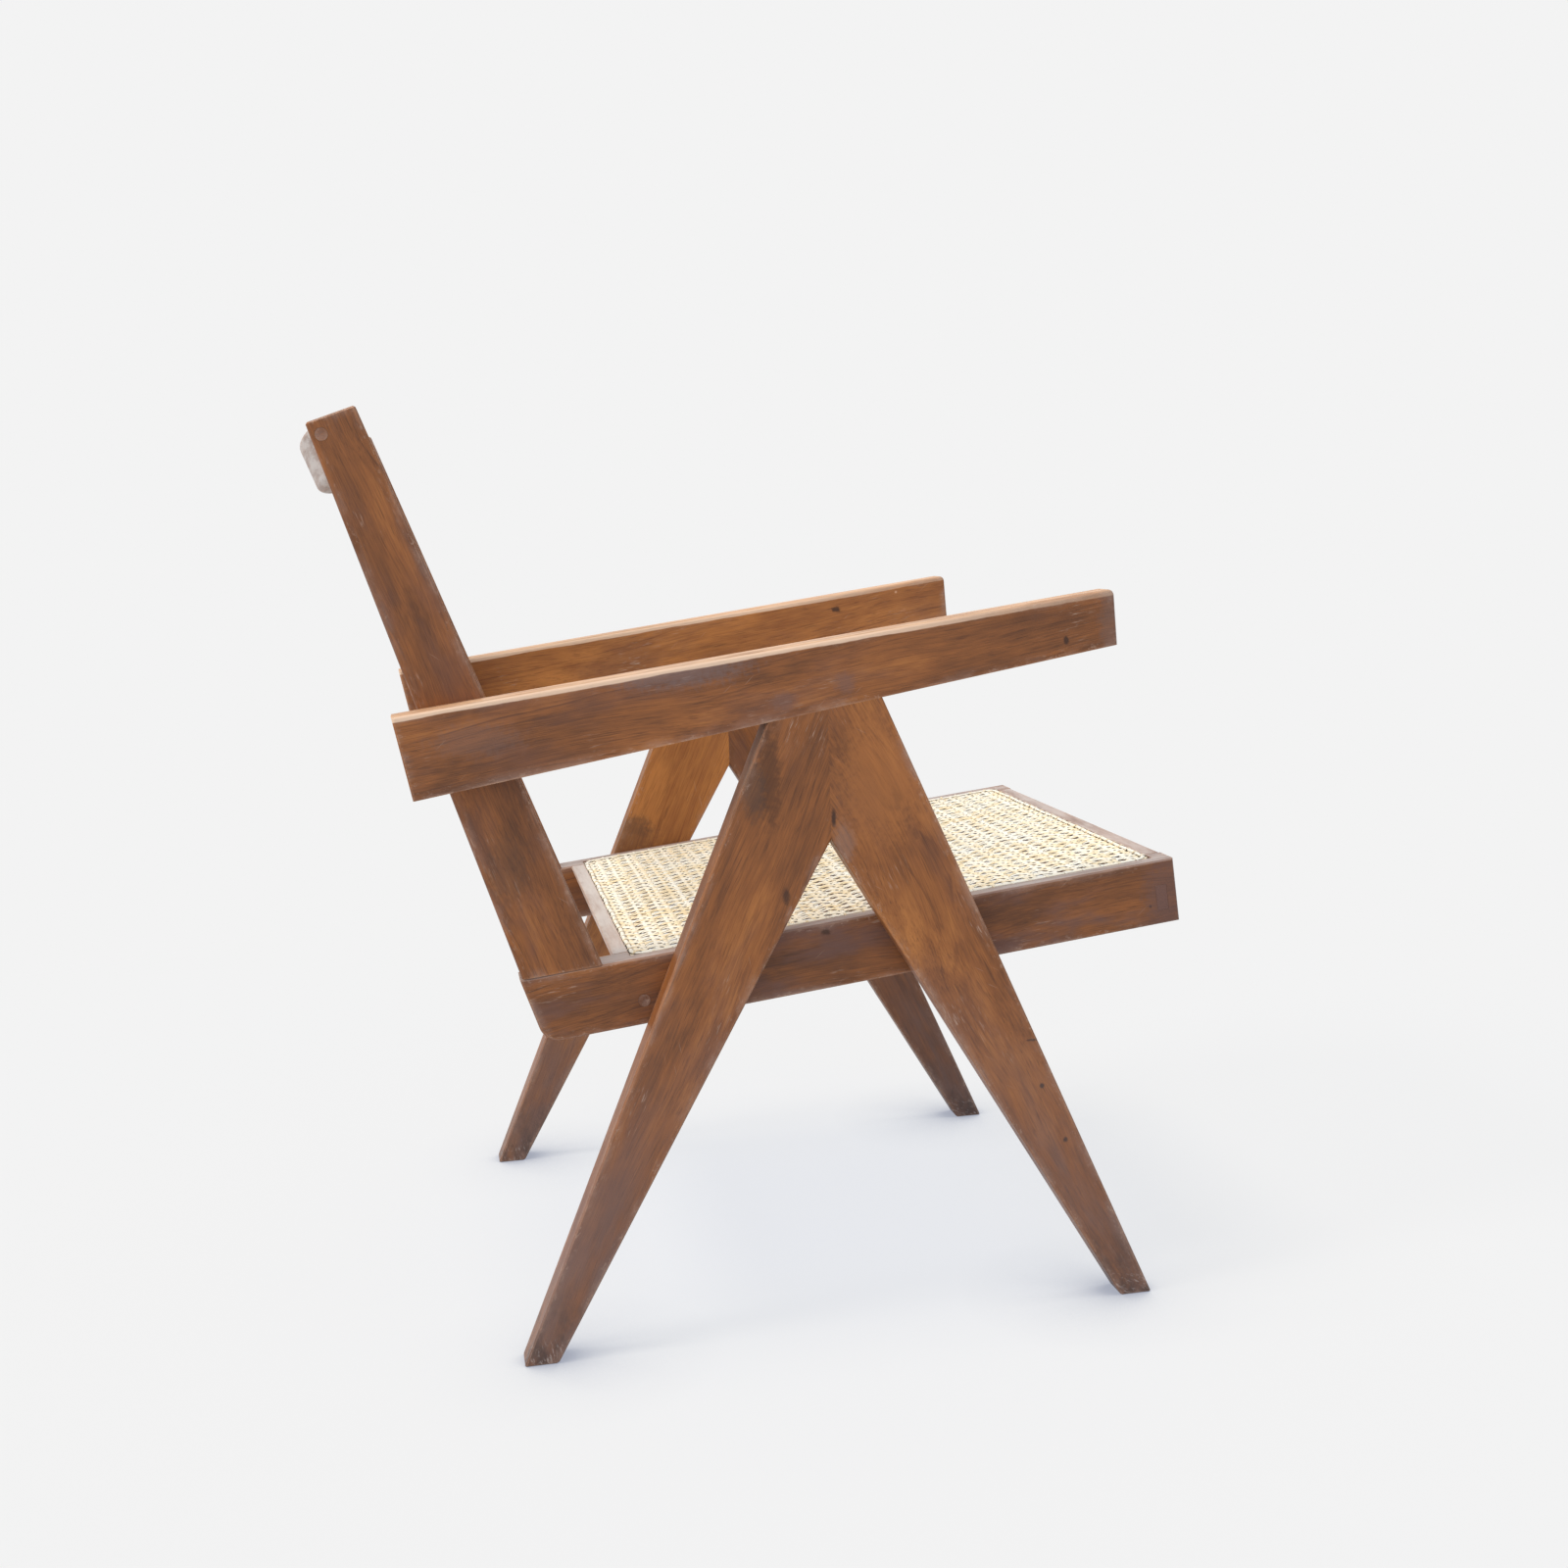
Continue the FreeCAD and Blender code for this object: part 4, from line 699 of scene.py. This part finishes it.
def seat_point(across, along, lift):
    """A point of the seat: along runs back down the slope from the front edge, lift stands up off it."""
    depth = SEAT_SINK - lift
    y = SEAT_EDGE_Y + along * math.cos(SEAT_SLOPE) - depth * math.sin(SEAT_SLOPE)
    z = SEAT_EDGE_Z - along * math.sin(SEAT_SLOPE) - depth * math.cos(SEAT_SLOPE)
    return np.stack((across + 0 * y, y, z), axis=-1)


chance = np.random.default_rng(7)
STRAY_STEP = 0.00045
STRAY_WAVE = 0.0004
STRAY_PACE = 55.0


def strayed(across_place, along_place):
    """A strand's line moved by one small step and a slow wave of its own, as hand weaving leaves it."""
    steps = chance.normal(0.0, STRAY_STEP, 2)
    waves = chance.normal(0.0, STRAY_WAVE, 2)
    start = chance.random() * 2 * np.pi
    swing = np.sin(start + STRAY_PACE * (across_place + along_place))
    return across_place + steps[0] + waves[0] * swing, along_place + steps[1] + waves[1] * swing


def woven(paths, surface, half, start, end, cells):
    """Strands over one field: counts of pairs become places on it, stray a little and become points."""
    skins = []
    for across_count, along_count, lift in paths:
        across_place = -half + (across_count + 0.5) * 2 * half / cells[0]
        along_place = start + (along_count + 0.5) * (end - start) / cells[1]
        across_place, along_place = strayed(across_place, along_place)
        middle = surface(across_place, along_place, lift * CANE_SWING)
        outward = surface(across_place, along_place, 1.0) - surface(across_place, along_place, 0.0)
        skins.append(strand_skin(middle, outward, CANE_WIDTH, CANE_THICKNESS))
    return skins


for way, paths in weave_paths(*SEAT_CELLS).items():
    skins = woven(paths, seat_point, SEAT_HALF, SEAT_FRONT, SEAT_BACK, SEAT_CELLS)
    piece = strands_object("seat_cane_" + way, skins, chance.random(len(skins)))
    piece.data.materials.append(seat_split_cane)
    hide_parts("seat_cane")

# Back cane: the same six-way weave, held in the crest and lower rails and bowed back between the posts.
# The photograph sees it only from its edge, so its spacing follows the seat's, and it has paler dust and
# painted shade.
BACK_DUST_AND_SHADE = paint(158, 124, 82)
back_split_cane = cane_material("back_split_cane", CANE_PALE, CANE_HONEY, BACK_DUST_AND_SHADE)
BACK_LEAN = math.radians(20.4)
BACK_HALF = 0.2035
BACK_TOP = 0.0155
BACK_BOTTOM = 0.3425
BACK_CELLS = (28, 17)
BACK_EDGE_Y = 0.3114
BACK_EDGE_Z = 0.780
BOW_RADIUS = 1.0504
BOW_DEPTH = 0.0335
BACK_SINK = 0.001


def back_point(across, down, lift):
    """A point of the back: down runs along the lean from the top, lift stands forward off a round bow."""
    swing = np.arcsin(across / BOW_RADIUS)
    reach = BOW_RADIUS + BACK_SINK - lift
    depth = BOW_DEPTH - BOW_RADIUS + reach * np.cos(swing)
    y = BACK_EDGE_Y + depth * math.cos(BACK_LEAN) - down * math.sin(BACK_LEAN)
    z = BACK_EDGE_Z - depth * math.sin(BACK_LEAN) - down * math.cos(BACK_LEAN)
    return np.stack((reach * np.sin(swing), y, z), axis=-1)


for way, paths in weave_paths(*BACK_CELLS).items():
    skins = woven(paths, back_point, BACK_HALF, BACK_TOP, BACK_BOTTOM, BACK_CELLS)
    piece = strands_object("back_cane_" + way, skins, chance.random(len(skins)))
    piece.data.materials.append(back_split_cane)
    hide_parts("back_cane")


# Binders: a round-topped strip of cane laid over the weave's edge all the way round each field.
# Finer strands tie it down at even steps, as if through drilled holes.
# Strips and ties are of the back's cane, with its paler dust and painted shade.
BINDER_WIDTH = 0.0040
BINDER_HEIGHT = 0.0014
BINDER_LIFT = 0.0010
BINDER_STEP = 0.004
BINDER_SWAY = 0.0004
SWAY_PACE = 0.37
BINDER_TONE = 0.25
BINDER_INSET = 0.0014
BACK_SIDE_INSET = 0.0024
SEAT_CORNER = 0.0115
BACK_CORNER = 0.005
TIE_STEP = 0.0165
TIE_WIDTH = 0.0022
TIE_THICKNESS = 0.0006
TIE_STRAY = 0.0006
SMALL_STEP = 0.001


def field_edge(half, start, end, corner, step):
    """Points round an oblong with round corners, at an even step, and the directions that point out of it.

    Each side is a straight run and then a quarter circle, and the whole line is spaced evenly by length.
    """
    turns = np.linspace(0.0, np.pi / 2, 9)
    middles = np.array((
        (half - corner, start + corner),
        (half - corner, end - corner),
        (corner - half, end - corner),
        (corner - half, start + corner),
    ))
    quarters = np.arange(-1, 3) * np.pi / 2
    arcs = [middle + corner * np.stack((np.cos(turns + quarter), np.sin(turns + quarter)), axis=-1)
            for middle, quarter in zip(middles, quarters)]
    line = np.concatenate(arcs + [arcs[0][:1]])
    run = np.concatenate(((0.0,), np.cumsum(np.linalg.norm(np.diff(line, axis=0), axis=1))))
    places = np.linspace(0.0, run[-1], round(run[-1] / step), endpoint=False)
    points = np.stack([np.interp(places, run, line[:, axis]) for axis in (0, 1)], axis=-1)
    heading = np.roll(points, -1, axis=0) - np.roll(points, 1, axis=0)
    heading /= np.linalg.norm(heading, axis=1, keepdims=True)
    return points, np.stack((heading[:, 1], -heading[:, 0]), axis=-1)


def binder(name, surface, half, start, end, corner, node):
    """A strip and its ties over one field: a domed section carried round the edge, short strands across.

    A tie's outward direction is the difference of two points of the field, a small step apart.
    """
    points, outs = field_edge(half, start, end, corner, BINDER_STEP)
    turns = np.linspace(0.0, np.pi, 7)
    sides = np.cos(turns) * BINDER_WIDTH / 2
    lifts = np.sin(turns) * BINDER_HEIGHT + BINDER_LIFT
    sway = BINDER_SWAY * np.sin(np.arange(len(points)) * SWAY_PACE)[:, None] * outs
    flat = (points + sway)[:, None] + outs[:, None] * sides[None, :, None]
    strip = surface(flat[..., 0], flat[..., 1], lifts[None, :])
    rings, corners = strip.shape[:2]
    here = np.arange(rings)[:, None] * corners
    there = np.roll(here, -1, axis=0)
    spot = np.arange(corners)[None, :]
    after = (spot + 1) % corners
    quads = np.stack((here + spot, here + after, there + after, there + spot), axis=-1).reshape(-1, 4)
    mesh = bpy.data.meshes.new(name)
    mesh.from_pydata(strip.reshape(-1, 3), [], quads.tolist())
    mesh.polygons.foreach_set("use_smooth", np.ones(len(mesh.polygons), dtype=bool))
    tone = mesh.attributes.new("tone", "FLOAT", "POINT")
    tone.data.foreach_set("value", np.full(rings * corners, BINDER_TONE))
    piece = bpy.data.objects.new(name, mesh)
    bpy.context.scene.collection.objects.link(piece)
    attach(piece, "root")
    points, outs = field_edge(half, start, end, corner, TIE_STEP)
    reach = np.cos(turns) * (BINDER_WIDTH / 2 + TIE_THICKNESS)
    rise = np.sin(turns) * (BINDER_HEIGHT + TIE_THICKNESS / 2) + BINDER_LIFT
    skins = []
    for point, out in zip(points, outs):
        flat = point + out * reach[:, None] + np.array((-out[1], out[0])) * chance.normal(0.0, TIE_STRAY)
        middle = surface(flat[:, 0], flat[:, 1], rise)
        inner = flat - out * np.cos(turns)[:, None] * SMALL_STEP
        outward = (surface(flat[:, 0], flat[:, 1], rise + SMALL_STEP * np.sin(turns))
                   - surface(inner[:, 0], inner[:, 1], rise))
        outward /= np.linalg.norm(outward, axis=1, keepdims=True)
        skins.append(strand_skin(middle, outward, TIE_WIDTH, TIE_THICKNESS))
    ties = strands_object(name + "_ties", skins, chance.random(len(skins)))
    for part in (piece, ties):
        part.data.materials.append(back_split_cane)
        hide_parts(node)


binder(
    "seat_binder", seat_point, SEAT_HALF - BINDER_INSET,
    SEAT_FRONT + BINDER_INSET, SEAT_BACK - BINDER_INSET, SEAT_CORNER, "seat_cane_binder",
)
binder(
    "back_binder", back_point, BACK_HALF - BACK_SIDE_INSET,
    BACK_TOP + BINDER_INSET, BACK_BOTTOM - BINDER_INSET, BACK_CORNER, "back_cane_binder",
)

# Setting: a plain pale floor that keeps the chair's soft shadow, partly real and partly painted into its
# glow, an even bluish sky, three far soft lamps from above, from behind and from the near side, and the
# camera where the photograph was taken from.
PAPER = paint(243, 243, 243)


def seen_directly(tree):
    """1 for what the camera sees, straight or by reflection, and 0 for light on its way to the chair."""
    ray = tree.nodes.new("ShaderNodeLightPath").outputs
    bent_ray = calc(tree, "MAXIMUM", ray["Is Glossy Ray"], ray["Is Transmission Ray"])
    return calc(tree, "MAXIMUM", ray["Is Camera Ray"], bent_ray)


floor_mesh = bpy.data.meshes.new("floor")
floor_mesh.from_pydata([(-40, -40, 0), (40, -40, 0), (40, 40, 0), (-40, 40, 0)], [], [(0, 1, 2, 3)])
floor = bpy.data.objects.new("floor", floor_mesh)
bpy.context.scene.collection.objects.link(floor)
floor_paper = bpy.data.materials.new("floor_paper")
floor_paper.use_nodes = True
floor_tree = floor_paper.node_tree
floor_tree.nodes.remove(floor_tree.nodes["Principled BSDF"])
paper_matt = floor_tree.nodes.new("ShaderNodeBsdfDiffuse")
paper_matt.inputs["Color"].default_value = (0.67, 0.67, 0.67, 1)
paper_glow = floor_tree.nodes.new("ShaderNodeEmission")
# Each shade on the floor: its reach, how open the floor is where it is full and where it ends, its colour
SHADES = (
    (0.60, 0.35, 0.95, paint(239, 242, 249)),
    (0.12, 0.5, 0.98, paint(174, 179, 194)),
)
shaded_paper = PAPER
# Painted shadow: the floor's glow is darkened and tinted towards each shade's colour where the chair closes
# the floor in
for reach, closed, open_floor, shade in SHADES:
    near = floor_tree.nodes.new("ShaderNodeAmbientOcclusion")
    near.samples = 8
    near.inputs["Distance"].default_value = reach
    depth = smooth_step(floor_tree, near.outputs["AO"], closed, open_floor, 1.0, 0.0)
    way = "MIX" if shaded_paper is PAPER else "DARKEN"
    shaded_paper = mixed(floor_tree, depth, shaded_paper, shade, way)
plug(floor_tree, paper_glow.inputs["Color"], shaded_paper)
floor_spot = floor_tree.nodes.new("ShaderNodeTexCoord")
from_chair = vector_calc(floor_tree, "LENGTH", floor_spot.outputs["Object"])
# Near the chair a little of the floor's look is real light and shadow; further off it is all plain paper
NEAR_FLOOR = 0.8
FAR_FLOOR = 1.6
NEAR_GLOW = 0.82
far_floor = smooth_step(floor_tree, from_chair, NEAR_FLOOR, FAR_FLOOR, NEAR_GLOW, 1.0)
glow_share = calc(floor_tree, "MULTIPLY", seen_directly(floor_tree), far_floor)
paper_mix = floor_tree.nodes.new("ShaderNodeMixShader")
plug(floor_tree, paper_mix.inputs[0], glow_share)
plug(floor_tree, paper_mix.inputs[1], paper_matt.outputs[0])
plug(floor_tree, paper_mix.inputs[2], paper_glow.outputs[0])
plug(floor_tree, floor_tree.nodes["Material Output"].inputs["Surface"], paper_mix.outputs[0])
floor_mesh.materials.append(floor_paper)

world = bpy.data.worlds.new("studio")
bpy.context.scene.world = world
world.use_nodes = True
sky_tree = world.node_tree
sky = sky_tree.nodes["Background"]
SKY_LIGHT = (0.50, 0.575, 0.69, 1)
plug(sky_tree, sky.inputs["Color"], mixed(sky_tree, seen_directly(sky_tree), SKY_LIGHT, PAPER))


def soft_lamp(name, travel, energy, angle, colour):
    """A far, broad lamp: its light travels one way everywhere, with shadow edges as soft as its angle."""
    light = bpy.data.lights.new(name, "SUN")
    light.energy = energy
    light.angle = math.radians(angle)
    light.color = colour
    lamp = bpy.data.objects.new(name, light)
    bpy.context.scene.collection.objects.link(lamp)
    ahead = np.array(travel) / np.linalg.norm(travel)
    side = np.cross(ahead, (0.0, 0.0, 1.0))
    side /= np.linalg.norm(side)
    lamp.matrix_world = Matrix(np.column_stack((side, np.cross(side, ahead), -ahead)).tolist()).to_4x4()


soft_lamp("overhead_lamp", travel=(0.04, -0.32, -1.0), energy=2.1, angle=24, colour=(1.0, 0.91, 0.78))
soft_lamp("rear_lamp", travel=(0.16, -0.88, -0.5), energy=1.0, angle=14, colour=(1.0, 0.95, 0.88))
soft_lamp("side_lamp", travel=(1.0, -0.15, -0.4), energy=0.38, angle=60, colour=(1.0, 0.97, 0.93))

YAW = math.radians(11.159)
PITCH = math.radians(-8.293)
ROLL = math.radians(-1.873)
CAMERA_PLACE = (-1.65832, 0.26779, 0.67907)
camera_data = bpy.data.cameras.new("camera")
camera_data.sensor_width = 36.0
camera_data.lens = 40.872
camera_data.clip_start = 0.01
camera = bpy.data.objects.new("camera", camera_data)
bpy.context.scene.collection.objects.link(camera)
ahead = np.array((math.cos(YAW) * math.cos(PITCH), -math.sin(YAW) * math.cos(PITCH), math.sin(PITCH)))
level_right = np.cross(ahead, (0.0, 0.0, 1.0))
level_right /= np.linalg.norm(level_right)
level_up = np.cross(level_right, ahead)
rolled_right = math.cos(ROLL) * level_right + math.sin(ROLL) * level_up
rolled_up = math.cos(ROLL) * level_up - math.sin(ROLL) * level_right
camera.matrix_world = (Matrix.Translation(CAMERA_PLACE)
                       @ Matrix(np.column_stack((rolled_right, rolled_up, -ahead)).tolist()).to_4x4())
bpy.context.scene.camera = camera
bpy.context.scene.view_settings.view_transform = "Standard"
